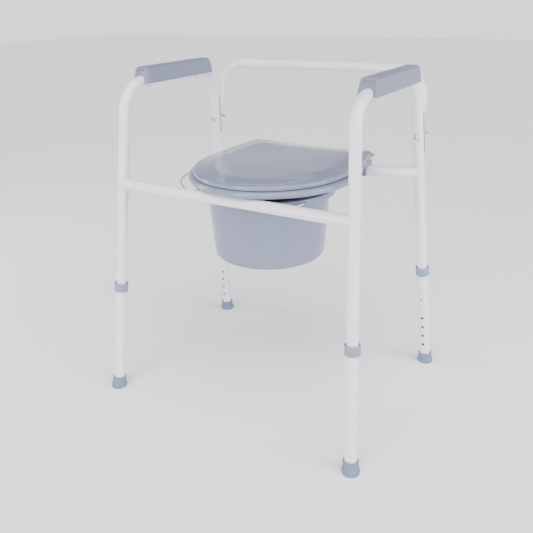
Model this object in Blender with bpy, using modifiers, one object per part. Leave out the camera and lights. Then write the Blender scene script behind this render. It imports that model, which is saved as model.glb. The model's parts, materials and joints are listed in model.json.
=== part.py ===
"""Commode chair: a white steel tube frame on four adjustable legs, with two armrest pads, a
bolt-on back bar, a hinged seat ring and lid, and a lift-out pail with a wire bail.

Metres, +Z up. The origin is on the floor under the middle of the chair and -Y is its front.
Names use the sides a viewer sees from the front: left is -X and right is +X.
"""

import math

import bmesh
import bpy
from mathutils import Matrix, Vector

# Gap between pieces that touch on the real chair.
GAP = 0.0003

# The four legs are straight and lean inwards as they rise.
FOOT_X = 0.2974  # leg axis on the floor, from the middle
FOOT_Y = 0.2277
LEAN_X = 0.072  # how far the axis comes in for each metre of height
LEAN_Y = 0.113

# Tubes: outer radius and wall.
TUBE_R = 0.0111
LEG_R = 0.0127
WALL = 0.0012
TUBE_ROUND = 4  # bevel resolution outside
BORE_ROUND = 3  # and inside

# Side frame.
RAIL_Z = 0.684
RAIL_BEND_R = 0.055
RAIL_BEND_STEPS = 6
UPPER_END = 0.142  # along the leg, where the upper tube ends inside the lower leg

# Lower leg, measured along the leg from the floor.
LEG_TUBE_FOOT = 0.0070
LEG_TUBE_TOP = 0.2610
HOLE_R = 0.0035
HOLE_PITCH = 0.025
HOLE_COUNT = 7
HOLE_FIRST = 0.2052  # the highest hole
BUTTON_HOLE = 1  # the button sits in the second hole from the top
BUTTON_R = 0.0032
BUTTON_Z = HOLE_FIRST - BUTTON_HOLE * HOLE_PITCH

# Crossbars.
FRONT_BAR_Z = 0.4841
REAR_BAR_Z = 0.4880
REAR_BAR_Y = 0.1410
REAR_BAR_STRAIGHT = 0.166  # half length of the straight middle

# Back bar.
BACK_BOLT_Z = 0.571  # along the rear leg
BACK_TAB_FOOT = 0.537
BACK_TAB_TOP = 0.604
BACK_ROUND = Vector((0.2510, 0.1835, 0.6340))  # where its tube is round again
BACK_TOP = Vector((0.1890, 0.1970, 0.6955))  # end of the straight top
TAB_INNER_R = 0.0116  # the flattened end hugs the leg between these radii
TAB_OUTER_R = 0.0150
TAB_HALF_ANGLE = math.radians(80)

# Armrest pads.
PAD_FRONT_Y = -0.108
PAD_REAR_Y = 0.1260
PAD_HALF_WIDTH = 0.0205
PAD_TOP_Z = 0.7123
PAD_FOOT_Z = 0.6800
PAD_ROUND = 0.012
CHANNEL_GAP = 0.0004
PAD_SCREW_Y = (-0.082, 0.082)
SCREW_R = 0.0020

# Seat ring and lid, both turning on the rear bar.
SEAT_X = 0.0090  # the seat has slid this far to the right on its bar
SEAT_HALF_WIDTH = 0.1775
SEAT_FRONT_Y = -0.1930
SEAT_REAR_Y = 0.1215
SEAT_BOTTOM_Z = 0.4968
SEAT_TOP_Z = 0.5103
OPENING_Y = -0.034  # the oval hole in the ring
OPENING_HALF_X = 0.104
OPENING_HALF_Y = 0.117
LID_HALF_WIDTH = 0.1650
LID_FRONT_Y = -0.1865
LID_REAR_Y = 0.1715
LID_REAR_HALF = 0.1515
LID_EDGE_Z = 0.5120
LID_WALL = 0.003
LID_CROWN = 0.0135  # height of the lid's flat middle over its edge
LID_DISH = 0.0050
SEAT_REAR_HALF = 0.1530
SEAT_CLIP_X = (0.1350, 0.1510)
SEAT_CLIP = [  # (y, z) outline
    (0.1120, 0.5085),
    (0.1575, 0.5085),
    (0.1575, 0.4835),
    (0.1325, 0.4835),
    (0.1325, 0.4785),
    (0.1228, 0.4785),
    (0.1228, 0.4990),
    (0.1120, 0.4990),
]
LID_CLIP_X = (0.0850, 0.1000)
LID_CLIP = [
    (0.1265, 0.5242),
    (0.1555, 0.5242),
    (0.1555, 0.4835),
    (0.1325, 0.4835),
    (0.1325, 0.4785),
    (0.1265, 0.4785),
]
OVAL_CENTRE_Y = -0.002
CLIP_R = TUBE_R + 0.00035

# Pail.
PAIL_Y = -0.0160
PAIL_RIM_R = 0.1420
PAIL_RIM_TOP = 0.4790
PAIL_RIM_FOOT = 0.4660
PAIL_BODY_TOP_R = 0.1300
PAIL_BODY_FOOT_R = 0.1192
PAIL_FOOT_Z = 0.3270
PAIL_WALL = 0.0024
NOTCH_ANGLE = math.radians(32.4)
REST_X = 0.119  # support arms under the rim, one through each notch
REST_R = 0.0022

# Bail handle, folded down to the left.
BAIL_Z = 0.4705
BAIL_R = 0.0016
BAIL_HALF_WIDTH = 0.1440
BAIL_REACH = 0.1870
BAIL_RISE = math.atan(0.0145 / 0.187)
BAIL_POWER = 2.55

WHITE = ("white_powder_coat", (0.78, 0.78, 0.81), 0.28, 0.0)
GREY = ("grey_gloss_plastic", (0.31, 0.34, 0.43), 0.15, 0.0)
PAD_GREY = ("grey_satin_plastic", (0.19, 0.21, 0.26), 0.45, 0.0)
COLLAR_GREY = ("grey_collar_plastic", (0.30, 0.38, 0.48), 0.5, 0.0)
RUBBER = ("blue_grey_rubber", (0.13, 0.18, 0.27), 0.7, 0.0)
BRASS = ("brass", (0.72, 0.52, 0.22), 0.3, 1.0)
CHROME = ("chrome", (0.75, 0.76, 0.78), 0.12, 1.0)
SPRING_STEEL = ("spring_steel", (0.5, 0.5, 0.5), 0.35, 1.0)

SIDES = {"left": -1, "right": 1}
ENDS = {"front": -1, "rear": 1}


# ---------------------------------------------------------------- small helpers


def clear_scene():
    for thing in list(bpy.data.objects):
        bpy.data.objects.remove(thing, do_unlink=True)


def collection(name):
    made = bpy.data.collections.new(name)
    bpy.context.scene.collection.children.link(made)
    return made


def material(finish):
    name, colour, roughness, metallic = finish
    made = bpy.data.materials.get(name)
    if made:
        return made
    made = bpy.data.materials.new(name)
    made.use_nodes = True
    shader = made.node_tree.nodes["Principled BSDF"]
    shader.inputs["Base Color"].default_value = (*colour, 1.0)
    shader.inputs["Roughness"].default_value = roughness
    shader.inputs["Metallic"].default_value = metallic
    return made


def add_piece(name, mesh, finish, parent=None, place=None):
    """Links a mesh as a named piece with its material, at a place in its parent's frame."""
    piece = bpy.data.objects.new(name, mesh)
    mesh.materials.clear()
    mesh.materials.append(material(finish))
    mesh.shade_smooth()
    mesh.set_sharp_from_angle(angle=math.radians(35))
    PIECES.objects.link(piece)
    piece.parent = parent
    if place:
        piece.matrix_basis = place
    return piece


def add_cutter(name, mesh):
    cutter = bpy.data.objects.new(name, mesh)
    cutter.hide_render = True
    cutter.display_type = "WIRE"
    CUTTERS.objects.link(cutter)
    return cutter


def boolean(piece, cutter, operation="DIFFERENCE"):
    step = piece.modifiers.new(cutter.name, "BOOLEAN")
    step.operation = operation
    step.solver = "EXACT"
    step.object = cutter


def finished(bm, name):
    mesh = bpy.data.meshes.new(name)
    bm.to_mesh(mesh)
    bm.free()
    return mesh


def rods_mesh(name, rods, sides=16):
    """A mesh of closed round rods, each given as (start, end, radius)."""
    bm = bmesh.new()
    for start, end, radius in rods:
        start, end = Vector(start), Vector(end)
        turn = (end - start).to_track_quat("Z", "Y").to_matrix().to_4x4()
        place = Matrix.Translation((start + end) / 2) @ turn
        length = (end - start).length
        bmesh.ops.create_cone(
            bm, cap_ends=True, segments=sides, radius1=radius, radius2=radius, depth=length, matrix=place
        )
    return finished(bm, name)


def boxes_mesh(name, boxes):
    """A mesh of closed boxes, each given by its lowest and highest corners."""
    bm = bmesh.new()
    for low, high in boxes:
        low, high = Vector(low), Vector(high)
        place = Matrix.Translation((low + high) / 2) @ Matrix.Diagonal((*(high - low), 1))
        bmesh.ops.create_cube(bm, size=1, matrix=place)
    return finished(bm, name)


def wire_mesh(name, points, radius, resolution):
    """A poly spline with a round bevel and filled caps, made a mesh with its caps welded."""
    curve = bpy.data.curves.new(name, "CURVE")
    curve.dimensions = "3D"
    curve.bevel_depth = radius
    curve.bevel_resolution = resolution
    curve.use_fill_caps = True
    spline = curve.splines.new("POLY")
    spline.points.add(len(points) - 1)
    for knot, point in zip(spline.points, points):
        knot.co = (*point, 1)
    guide = bpy.data.objects.new(name, curve)
    PIECES.objects.link(guide)
    graph = bpy.context.evaluated_depsgraph_get()
    mesh = bpy.data.meshes.new_from_object(guide.evaluated_get(graph))
    bpy.data.objects.remove(guide)
    bm = bmesh.new()
    bm.from_mesh(mesh)
    bmesh.ops.remove_doubles(bm, verts=bm.verts, dist=1e-6)
    bm.to_mesh(mesh)
    bm.free()
    return mesh


def turned(name, profile, steps, finish, parent=None, place=None, closed=False):
    """A profile of (radius, height) turned about its own Z; its outer side runs downwards."""
    mesh = bpy.data.meshes.new(name)
    last = len(profile)
    edges = [(i, i + 1) for i in range(last - 1)]
    if closed:
        edges.append((last - 1, 0))
    mesh.from_pydata([(r, 0, z) for r, z in profile], edges, [])
    piece = add_piece(name, mesh, finish, parent, place)
    screw = piece.modifiers.new("turn", "SCREW")
    screw.axis = "Z"
    screw.steps = steps
    screw.render_steps = steps
    screw.use_merge_vertices = True
    screw.merge_threshold = 1e-5
    screw.use_smooth_shade = True
    return piece


def loft_mesh(name, loops, closed_along=False):
    """Skins loops of equal length with quads, and closes the two ends unless it runs round."""
    bm = bmesh.new()
    rows = [[bm.verts.new(point) for point in loop] for loop in loops]
    count = len(rows[0])
    pairs = list(zip(rows, rows[1:]))
    if closed_along:
        pairs.append((rows[-1], rows[0]))
    for one, two in pairs:
        for i in range(count):
            j = (i + 1) % count
            bm.faces.new((one[i], one[j], two[j], two[i]))
    if not closed_along:
        bm.faces.new(rows[0][::-1])
        bm.faces.new(rows[-1])
    bmesh.ops.recalc_face_normals(bm, faces=bm.faces)
    return finished(bm, name)


def rounded_path(corners, radius, steps):
    """The corners of a path, each inner one replaced by an arc."""
    path = [corners[0]]
    for before, corner, after in zip(corners, corners[1:], corners[2:]):
        to_before = (before - corner).normalized()
        to_after = (after - corner).normalized()
        half = to_before.angle(to_after) / 2
        centre = corner + (to_before + to_after).normalized() * radius / math.sin(half)
        start = corner + to_before * radius / math.tan(half) - centre
        end = corner + to_after * radius / math.tan(half) - centre
        sweep = start.angle(end)
        for i in range(steps + 1):
            t = i / steps
            blend = start * math.sin((1 - t) * sweep) + end * math.sin(t * sweep)
            path.append(centre + blend / math.sin(sweep))
    path.append(corners[-1])
    return path


# ---------------------------------------------------------------- places on the legs


def leg_point(side, end, z):
    """A point on a leg's axis at height z."""
    return Vector((side * (FOOT_X - LEAN_X * z), end * (FOOT_Y - LEAN_Y * z), z))


def leg_place(side, end):
    """A leg's own frame: Z up along the leg from the floor, Y away from the chair's middle."""
    up = (leg_point(side, end, 1) - leg_point(side, end, 0)).normalized()
    out = Vector((0, end, 0))
    out = (out - up * out.dot(up)).normalized()
    across = out.cross(up)
    turn = Matrix((across, out, up)).transposed().to_4x4()
    return Matrix.Translation(leg_point(side, end, 0)) @ turn


def along_leg(side, end, distance):
    return leg_place(side, end) @ Vector((0, 0, distance))


def facing_in(distance_up, distance_out):
    """A place in a leg's frame whose Z points to the chair's middle, out at a distance."""
    return Matrix.Translation((0, -distance_out, distance_up)) @ Matrix.Rotation(math.pi / 2, 4, "X")


# ---------------------------------------------------------------- frame


def side_frame(side_name, side):
    """One bent tube: front leg, armrest rail and rear leg."""
    corners = [
        along_leg(side, -1, UPPER_END),
        leg_point(side, -1, RAIL_Z),
        leg_point(side, 1, RAIL_Z),
        along_leg(side, 1, UPPER_END),
    ]
    path = rounded_path(corners, RAIL_BEND_R, RAIL_BEND_STEPS)
    mesh = wire_mesh("side_frame_" + side_name, path, TUBE_R, TUBE_ROUND)
    piece = add_piece("side_frame_" + side_name, mesh, WHITE)
    down = (path[0] - path[1]).normalized() * 0.01
    bore = [path[0] + down, *path[1:-1], path[-1] + (path[-1] - path[-2]).normalized() * 0.01]
    boolean(piece, add_cutter("bore_" + side_name, wire_mesh("bore", bore, TUBE_R - WALL, BORE_ROUND)))
    holes = []
    for end in ENDS.values():
        place = leg_place(side, end)
        holes.append((place @ Vector((0, -0.006, BUTTON_Z)), place @ Vector((0, -0.016, BUTTON_Z)), HOLE_R))
    rear = leg_place(side, 1)
    bolt = (rear @ Vector((0, -0.02, BACK_BOLT_Z)), rear @ Vector((0, 0.02, BACK_BOLT_Z)), 0.0034)
    holes.append(bolt)
    for y in PAD_SCREW_Y:
        x = leg_point(side, 1, RAIL_Z).x
        holes.append(((x, y, RAIL_Z - 0.02), (x, y, RAIL_Z + 0.02), SCREW_R + GAP))
    boolean(piece, add_cutter("frame_holes_" + side_name, rods_mesh("frame_holes", holes, 12)))
    return path


def crossbar(name, path):
    """A tube between two legs, coped round them, with a weld fillet at each end."""
    mesh = wire_mesh(name, path, TUBE_R, TUBE_ROUND)
    piece = add_piece(name, mesh, WHITE)
    fillets = bmesh.new()
    for tip, inner in ((path[0], path[1]), (path[-1], path[-2])):
        inwards = (inner - tip).normalized()
        turn = inwards.to_track_quat("Z", "Y").to_matrix().to_4x4()
        place = Matrix.Translation(tip + inwards * 0.0105) @ turn
        bmesh.ops.create_cone(
            fillets, cap_ends=True, segments=16, radius1=0.0145, radius2=0.0100, depth=0.013, matrix=place
        )
    boolean(piece, add_cutter(name + "_fillets", finished(fillets, "fillets")), "UNION")
    first = (path[1] - path[0]).normalized() * -0.02
    final = (path[-1] - path[-2]).normalized() * 0.02
    bore = [path[0] + first, *path[1:-1], path[-1] + final]
    boolean(piece, add_cutter(name + "_bore", wire_mesh("bar_bore", bore, TUBE_R - WALL, BORE_ROUND)))
    legs = []
    end = -1 if path[0].y < 0 else 1
    for side in SIDES.values():
        z = path[0].z
        legs.append((leg_point(side, end, z - 0.05), leg_point(side, end, z + 0.05), TUBE_R + GAP))
    boolean(piece, add_cutter(name + "_legs", rods_mesh("legs", legs, 20)))


def front_crossbar():
    crossbar("front_crossbar", [leg_point(-1, -1, FRONT_BAR_Z), leg_point(1, -1, FRONT_BAR_Z)])


def rear_bar_y(x):
    """The rear bar runs straight in the middle and curves back to the legs in one arc."""
    tip = leg_point(1, 1, REAR_BAR_Z)
    run = tip.x - REAR_BAR_STRAIGHT
    rise = tip.y - REAR_BAR_Y
    radius = (run * run + rise * rise) / (2 * rise)
    beyond = max(0.0, abs(x) - REAR_BAR_STRAIGHT)
    return REAR_BAR_Y + radius - math.sqrt(radius * radius - beyond * beyond)


def rear_crossbar():
    tip = leg_point(1, 1, REAR_BAR_Z).x
    steps = 5
    half = [REAR_BAR_STRAIGHT + (tip - REAR_BAR_STRAIGHT) * i / steps for i in range(steps + 1)]
    across = [-x for x in reversed(half)] + half
    crossbar("rear_crossbar", [Vector((x, rear_bar_y(x), REAR_BAR_Z)) for x in across])


def pail_rests():
    """Four thin arms welded to the crossbars, which reach under the pail's rim."""
    bars = [
        (leg_point(-1, -1, FRONT_BAR_Z), leg_point(1, -1, FRONT_BAR_Z), TUBE_R + GAP),
        ((-0.16, REAR_BAR_Y, REAR_BAR_Z), (0.16, REAR_BAR_Y, REAR_BAR_Z), TUBE_R + GAP),
    ]
    cutter = add_cutter("bars_for_arms", rods_mesh("bars", bars, 24))
    front_face = leg_point(1, -1, FRONT_BAR_Z).y + TUBE_R
    roots = {"front": (front_face - 0.0022, 0.4765), "rear": (REAR_BAR_Y - TUBE_R + 0.0042, 0.4775)}
    tips = {"front": (-0.078, 0.4695), "rear": (0.042, 0.4695)}
    for side_name, side in SIDES.items():
        for end_name in ENDS:
            name = "pail_rest_" + end_name + "_" + side_name
            x = side * REST_X
            rod = ((x, *roots[end_name]), (x, *tips[end_name]), REST_R)
            piece = add_piece(name, rods_mesh(name, [rod], 10), WHITE)
            boolean(piece, cutter)


# ---------------------------------------------------------------- back bar


def tab_section(side, distance, inset, corners):
    """The flattened end of the back bar: a crescent round the rear of the leg."""
    place = leg_place(side, 1)
    middle = (TAB_OUTER_R + TAB_INNER_R) / 2
    half = (TAB_OUTER_R - TAB_INNER_R) / 2 - inset
    reach = TAB_HALF_ANGLE - inset / TAB_INNER_R
    loop = []
    for i in range(corners):
        angle = 2 * math.pi * i / corners
        turn = 1 - 2 * angle / math.pi if angle <= math.pi else 2 * (angle - math.pi) / math.pi - 1
        radius = middle + half * max(-1.0, min(1.0, 3 * math.sin(angle)))
        lateral = radius * math.sin(reach * turn)
        x_axis = side * (place.to_3x3() @ Vector((1, 0, 0))).x
        sign = 1 if x_axis > 0 else -1
        loop.append(place @ Vector((sign * lateral, radius * math.cos(reach * turn), distance)))
    return loop


def round_section(centre, lateral, rearward, radius, corners):
    loop = []
    for i in range(corners):
        angle = 2 * math.pi * i / corners
        loop.append(centre + lateral * radius * math.cos(angle) + rearward * radius * math.sin(angle))
    return loop


def mixed(one, two, amount):
    return [a.lerp(b, amount) for a, b in zip(one, two)]


def back_bar_loops(inset, corners):
    """Sections of the back bar from its right-hand tab over the top to the left-hand one."""
    radius = TUBE_R - inset
    lean = Vector((0, BACK_TOP.y - BACK_ROUND.y, BACK_TOP.z - BACK_ROUND.z)).normalized()
    bend = BACK_ROUND.x - BACK_TOP.x
    rearward = Vector((0, lean.z, -lean.y))
    half = []
    half.append(tab_section(1, BACK_TAB_FOOT, inset, corners))
    half.append(tab_section(1, BACK_TAB_TOP, inset, corners))
    start = round_section(BACK_ROUND, Vector((1, 0, 0)), rearward, radius, corners)
    flat_end = tab_section(1, BACK_TAB_TOP, inset, corners)
    for amount in (0.25, 0.55, 0.85):
        half.append(mixed(flat_end, start, amount))
    middle = BACK_ROUND - Vector((bend, 0, 0))
    for i in range(8):
        angle = math.pi / 2 * i / 7
        lateral = Vector((math.cos(angle), 0, 0)) + lean * math.sin(angle)
        half.append(round_section(middle + lateral * bend, lateral, rearward, radius, corners))
    other = []
    for loop in reversed(half):
        other.append([Vector((-p.x, p.y, p.z)) for p in loop])
    return half + other


def back_bar():
    corners = 12
    piece = add_piece("back_bar", loft_mesh("back_bar", back_bar_loops(0, corners)), WHITE)
    bore = back_bar_loops(WALL, corners)
    drop = Vector((0, 0, -0.004))
    bore[0] = [p + drop for p in bore[0]]
    bore[-1] = [p + drop for p in bore[-1]]
    boolean(piece, add_cutter("back_bore", loft_mesh("back_bore", bore)))
    holes = []
    for side in SIDES.values():
        place = leg_place(side, 1)
        holes.append((place @ Vector((0, 0.005, BACK_BOLT_Z)), place @ Vector((0, 0.03, BACK_BOLT_Z)), 0.0034))
    boolean(piece, add_cutter("back_bolt_holes", rods_mesh("back_bolt_holes", holes, 12)))


BOLT_PROFILE = [
    (0.0, 0.0147),
    (0.0030, 0.0142),
    (0.0052, 0.0128),
    (0.0058, 0.0114),
    (0.0030, 0.0114),
    (0.0030, -0.0250),
    (0.0, -0.0250),
]


def back_bolt(side_name, side):
    """A dome-headed bolt through the rear leg and the back bar's tab, its head to the front."""
    turned("back_bolt_" + side_name, BOLT_PROFILE, 14, CHROME, None, leg_place(side, 1) @ facing_in(BACK_BOLT_Z, 0))


def wing_nut(side_name, side):
    """A hub with a flange and two upswept wings, turning on its bolt behind the tab."""
    axis = bpy.data.objects.new("wing_nut_axis_" + side_name, None)
    PIECES.objects.link(axis)
    axis.matrix_basis = leg_place(side, 1) @ Matrix.Translation((0, 0, BACK_BOLT_Z)) @ Matrix.Rotation(
        -math.pi / 2, 4, "X"
    )
    seat = TAB_OUTER_R + GAP
    hub = [
        (0.0048, seat + 0.0085),
        (0.0055, seat + 0.0075),
        (0.0068, seat + 0.0016),
        (0.0068, seat),
        (0.0033, seat),
        (0.0033, seat + 0.0085),
    ]
    piece = turned("wing_nut_" + side_name, hub, 14, BRASS, axis, closed=True)
    wings = bmesh.new()
    for way in (-1, 1):
        place = Matrix.Translation((way * 0.0088, 0, seat + 0.0082)) @ Matrix.Rotation(way * 0.62, 4, "Y")
        place = place @ Matrix.Diagonal((0.0085, 0.0018, 0.0095, 1))
        bmesh.ops.create_cube(wings, size=1, matrix=place)
    bmesh.ops.bevel(
        wings,
        geom=[e for e in wings.edges if abs((e.verts[0].co - e.verts[1].co).y) > 0.001],
        offset=0.0028,
        segments=2,
        affect="EDGES",
        profile=0.5,
    )
    cutter = add_cutter("wings_" + side_name, finished(wings, "wings"))
    cutter.parent = axis
    boolean(piece, cutter, "UNION")


# ---------------------------------------------------------------- armrests


def armrest_pad(side_name, side, rail_path):
    """A rounded channel moulding that sits over the top of the rail."""
    rail_x = leg_point(side, 1, RAIL_Z).x
    low = Vector((-PAD_HALF_WIDTH, PAD_FRONT_Y, PAD_FOOT_Z))
    high = Vector((PAD_HALF_WIDTH, PAD_REAR_Y, PAD_TOP_Z))
    bm = bmesh.new()
    place = Matrix.Translation((low + high) / 2) @ Matrix.Diagonal((*(high - low), 1))
    bmesh.ops.create_cube(bm, size=1, matrix=place)
    upper = []
    for edge in bm.edges:
        a, b = edge.verts[0].co, edge.verts[1].co
        if max(a.z, b.z) > PAD_TOP_Z - 0.001:
            upper.append(edge)
    bmesh.ops.bevel(bm, geom=upper, offset=PAD_ROUND, segments=4, affect="EDGES", profile=0.5)
    foot = [e for e in bm.edges if max(v.co.z for v in e.verts) < PAD_FOOT_Z + 0.0005]
    bmesh.ops.bevel(bm, geom=foot, offset=0.0015, segments=1, affect="EDGES")
    bmesh.ops.translate(bm, verts=bm.verts, vec=(rail_x, 0, 0))
    piece = add_piece("armrest_pad_" + side_name, finished(bm, "armrest_pad_" + side_name), PAD_GREY)
    channel = wire_mesh("channel", rail_path, TUBE_R + CHANNEL_GAP, TUBE_ROUND)
    boolean(piece, add_cutter("channel_" + side_name, channel))
    mouth = ((rail_x - 0.0115, -0.2, 0.66), (rail_x + 0.0115, 0.2, RAIL_Z))
    boolean(piece, add_cutter("mouth_" + side_name, boxes_mesh("mouth", [mouth])))
    pilots = []
    for y in PAD_SCREW_Y:
        pilots.append(((rail_x, y, RAIL_Z), (rail_x, y, 0.7052), SCREW_R + GAP))
    boolean(piece, add_cutter("pilots_" + side_name, rods_mesh("pilots", pilots, 10)))


def armrest_screws(side_name, side):
    """Two screws up through the rail into the pad."""
    head_top = RAIL_Z - TUBE_R - GAP
    profile = [
        (0.0, 0.7049),
        (SCREW_R, 0.7049),
        (SCREW_R, head_top),
        (0.0042, head_top),
        (0.0036, head_top - 0.0018),
        (0.0022, head_top - 0.0026),
        (0.0, head_top - 0.0026),
    ]
    for end_name, y in zip(ENDS, PAD_SCREW_Y):
        place = Matrix.Translation((leg_point(side, 1, RAIL_Z).x, y, 0))
        turned("armrest_screw_" + end_name + "_" + side_name, profile, 12, CHROME, None, place)


# ---------------------------------------------------------------- legs


def leg(name, side, end):
    """Lower leg tube with its holes, collar and rubber foot, on an empty on the leg's axis."""
    axis = bpy.data.objects.new("leg_axis_" + name, None)
    PIECES.objects.link(axis)
    axis.matrix_basis = leg_place(side, end)

    tube = [
        (LEG_R, LEG_TUBE_TOP),
        (LEG_R, LEG_TUBE_FOOT),
        (LEG_R - WALL, LEG_TUBE_FOOT),
        (LEG_R - WALL, LEG_TUBE_TOP),
    ]
    piece = turned("lower_leg_" + name, tube, 20, WHITE, axis, closed=True)
    holes = []
    for i in range(HOLE_COUNT):
        z = HOLE_FIRST - i * HOLE_PITCH
        holes.append(((0, -0.008, z), (0, -0.016, z), HOLE_R))
    cutter = add_cutter("leg_holes_" + name, rods_mesh("leg_holes", holes, 10))
    cutter.parent = axis
    boolean(piece, cutter)

    outer, bore = 0.0150, LEG_R + GAP
    top = LEG_TUBE_TOP + 0.0028
    collar = [
        (outer - 0.0012, top),
        (outer, top - 0.0012),
        (outer, top - 0.0186),
        (outer - 0.0008, top - 0.0200),
        (bore, top - 0.0200),
        (bore, LEG_TUBE_TOP + GAP),
        (TUBE_R + GAP, LEG_TUBE_TOP + GAP),
        (TUBE_R + GAP, top),
    ]
    turned("leg_collar_" + name, collar, 20, COLLAR_GREY, axis, closed=True)

    foot = [
        (0.0, LEG_TUBE_FOOT - GAP),
        (bore, LEG_TUBE_FOOT - GAP),
        (bore, 0.0275),
        (0.0149, 0.0275),
        (0.0153, 0.0265),
        (0.0156, 0.0120),
        (0.0178, 0.0070),
        (0.0180, -0.0040),
        (0.0, -0.0040),
    ]
    piece = turned("rubber_foot_" + name, foot, 20, RUBBER, axis)
    boolean(piece, FLOOR_BLOCK)


def snap_button(name, side, end):
    """A round button that locks the leg, and the leaf spring inside the tube behind it."""
    axis = bpy.data.objects.new("button_axis_" + name, None)
    PIECES.objects.link(axis)
    axis.matrix_basis = leg_place(side, end) @ facing_in(BUTTON_Z, 0)
    button = [
        (0.0, 0.0143),
        (0.0018, 0.0140),
        (0.0029, 0.0132),
        (BUTTON_R, 0.0122),
        (BUTTON_R, 0.0092),
        (0.0, 0.0092),
    ]
    turned("snap_button_" + name, button, 12, BRASS, axis)

    thick, half = 0.0006, 0.0026
    route = [(-0.0085, BUTTON_Z - 0.006), (-0.0085, BUTTON_Z + 0.008), (-0.0015, BUTTON_Z + 0.042)]
    route += [(0.0015, BUTTON_Z + 0.042), (0.0085, BUTTON_Z + 0.010), (0.0085, BUTTON_Z - 0.004)]
    bm = bmesh.new()
    inner, outer = [], []
    for i, (y, z) in enumerate(route):
        before = Vector(route[max(0, i - 1)])
        after = Vector(route[min(len(route) - 1, i + 1)])
        run = (after - before).normalized()
        normal = Vector((-run.y, run.x)) * thick / 2
        outer.append((y + normal.x, z + normal.y))
        inner.append((y - normal.x, z - normal.y))
    outline = outer + inner[::-1]
    face = bm.faces.new([bm.verts.new((-half, y, z)) for y, z in outline])
    grown = bmesh.ops.extrude_face_region(bm, geom=[face])
    moved = [v for v in grown["geom"] if isinstance(v, bmesh.types.BMVert)]
    bmesh.ops.translate(bm, verts=moved, vec=(2 * half, 0, 0))
    bmesh.ops.recalc_face_normals(bm, faces=bm.faces)
    mesh = finished(bm, "button_spring_" + name)
    add_piece("button_spring_" + name, mesh, SPRING_STEEL, None, leg_place(side, end))


# ---------------------------------------------------------------- seat and lid


def oval(half_width, front_y, rear_y, rear_half, corner_r, count):
    """An outline with a round front and a straight rear edge, from the front middle round by +X."""
    half = []
    for i in range(count):
        angle = math.pi / 2 * i / count
        half.append((half_width * math.sin(angle), OVAL_CENTRE_Y + (front_y - OVAL_CENTRE_Y) * math.cos(angle)))
    last = rear_y - corner_r
    for i in range(4):
        t = i / 4
        x = half_width - (half_width - rear_half) * t**1.7
        half.append((x, OVAL_CENTRE_Y + (last - OVAL_CENTRE_Y) * t))
    for i in range(5):
        angle = math.pi / 2 * i / 4
        x = rear_half - corner_r + corner_r * math.cos(angle)
        half.append((x, last + corner_r * math.sin(angle)))
    for i in range(1, 4):
        half.append(((rear_half - corner_r) * (1 - i / 4), rear_y))
    whole = half + [(0.0, rear_y)] + [(-x, y) for x, y in reversed(half[1:])]
    return [Vector((x + SEAT_X, y)) for x, y in whole]


def seat_ring(axis):
    """The seat: a rolled ring with an oval opening, and a clip at each rear corner."""
    outline = oval(SEAT_HALF_WIDTH, SEAT_FRONT_Y, SEAT_REAR_Y, SEAT_REAR_HALF, 0.014, 10)
    centre = Vector((SEAT_X, OPENING_Y))
    bottom, top = SEAT_BOTTOM_Z, SEAT_TOP_Z
    outer_side = [
        (0.0000, (bottom + top) / 2 - 0.001),
        (0.0012, bottom + 0.0095),
        (0.0045, top - 0.0012),
        (0.0100, top),
    ]
    inner_side = [
        (0.0150, top - 0.0012),
        (0.0040, top - 0.0045),
        (0.0000, bottom + 0.004),
        (0.0030, bottom),
    ]
    under_side = [(0.0070, bottom), (0.0018, bottom + 0.0025)]
    loops = []
    for edge in outline:
        angle = math.atan2(edge.y - centre.y, edge.x - centre.x)
        inner = centre + Vector((OPENING_HALF_X * math.cos(angle), OPENING_HALF_Y * math.sin(angle)))
        inwards = (inner - edge).normalized()
        loop = [Vector((*(edge + inwards * inset), z)) for inset, z in outer_side]
        loop += [Vector((*(inner - inwards * inset), z)) for inset, z in inner_side]
        loop += [Vector((*(edge + inwards * inset), z)) for inset, z in under_side]
        loops.append(loop)
    piece = add_piece("seat_ring", loft_mesh("seat_ring", loops, closed_along=True), GREY)
    add_clips(piece, "seat", *SEAT_CLIP_X, SEAT_CLIP)
    seated(piece, axis)


def add_clips(piece, name, near, far, outline):
    """Joins on a clip at each side: an upright outline across the bar, bored to turn on it."""
    clips = bmesh.new()
    bars = []
    for side in SIDES.values():
        start = SEAT_X + side * near
        face = clips.faces.new([clips.verts.new((start, y, z)) for y, z in outline])
        grown = bmesh.ops.extrude_face_region(clips, geom=[face])
        moved = [v for v in grown["geom"] if isinstance(v, bmesh.types.BMVert)]
        bmesh.ops.translate(clips, verts=moved, vec=(side * (far - near), 0, 0))
        ends = (SEAT_X + side * (near - 0.003), SEAT_X + side * (far + 0.003))
        bars.append(((ends[0], REAR_BAR_Y, REAR_BAR_Z), (ends[1], REAR_BAR_Y, REAR_BAR_Z), CLIP_R))
    bmesh.ops.recalc_face_normals(clips, faces=clips.faces)
    cutter = add_cutter(name + "_clips", finished(clips, "clips"))
    boolean(cutter, add_cutter(name + "_clip_bores", rods_mesh("clip_bores", bars, 24)))
    boolean(piece, cutter, "UNION")


def seated(piece, axis):
    """Hangs a piece on an axis empty without moving it."""
    piece.parent = axis
    piece.matrix_parent_inverse = axis.matrix_basis.inverted()


def lid_dish(x, y):
    """How far the lid curls up towards its rear corners."""
    back = max(0.0, (y - 0.02) / 0.14)
    return LID_DISH * ((x - SEAT_X) / LID_REAR_HALF) ** 2 * back


def lid_height(x, y):
    """Height of the lid's flat, slightly sloping middle."""
    slope = 0.0016 * max(0.0, -(y + 0.05) / 0.13)
    return LID_EDGE_Z + LID_CROWN + lid_dish(x, y) - slope


def edge_lift(y):
    """The lid's rim lifts towards the rear to pass over the bar."""
    return 0.0055 * max(0.0, (y - 0.06) / 0.10) ** 1.5


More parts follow.
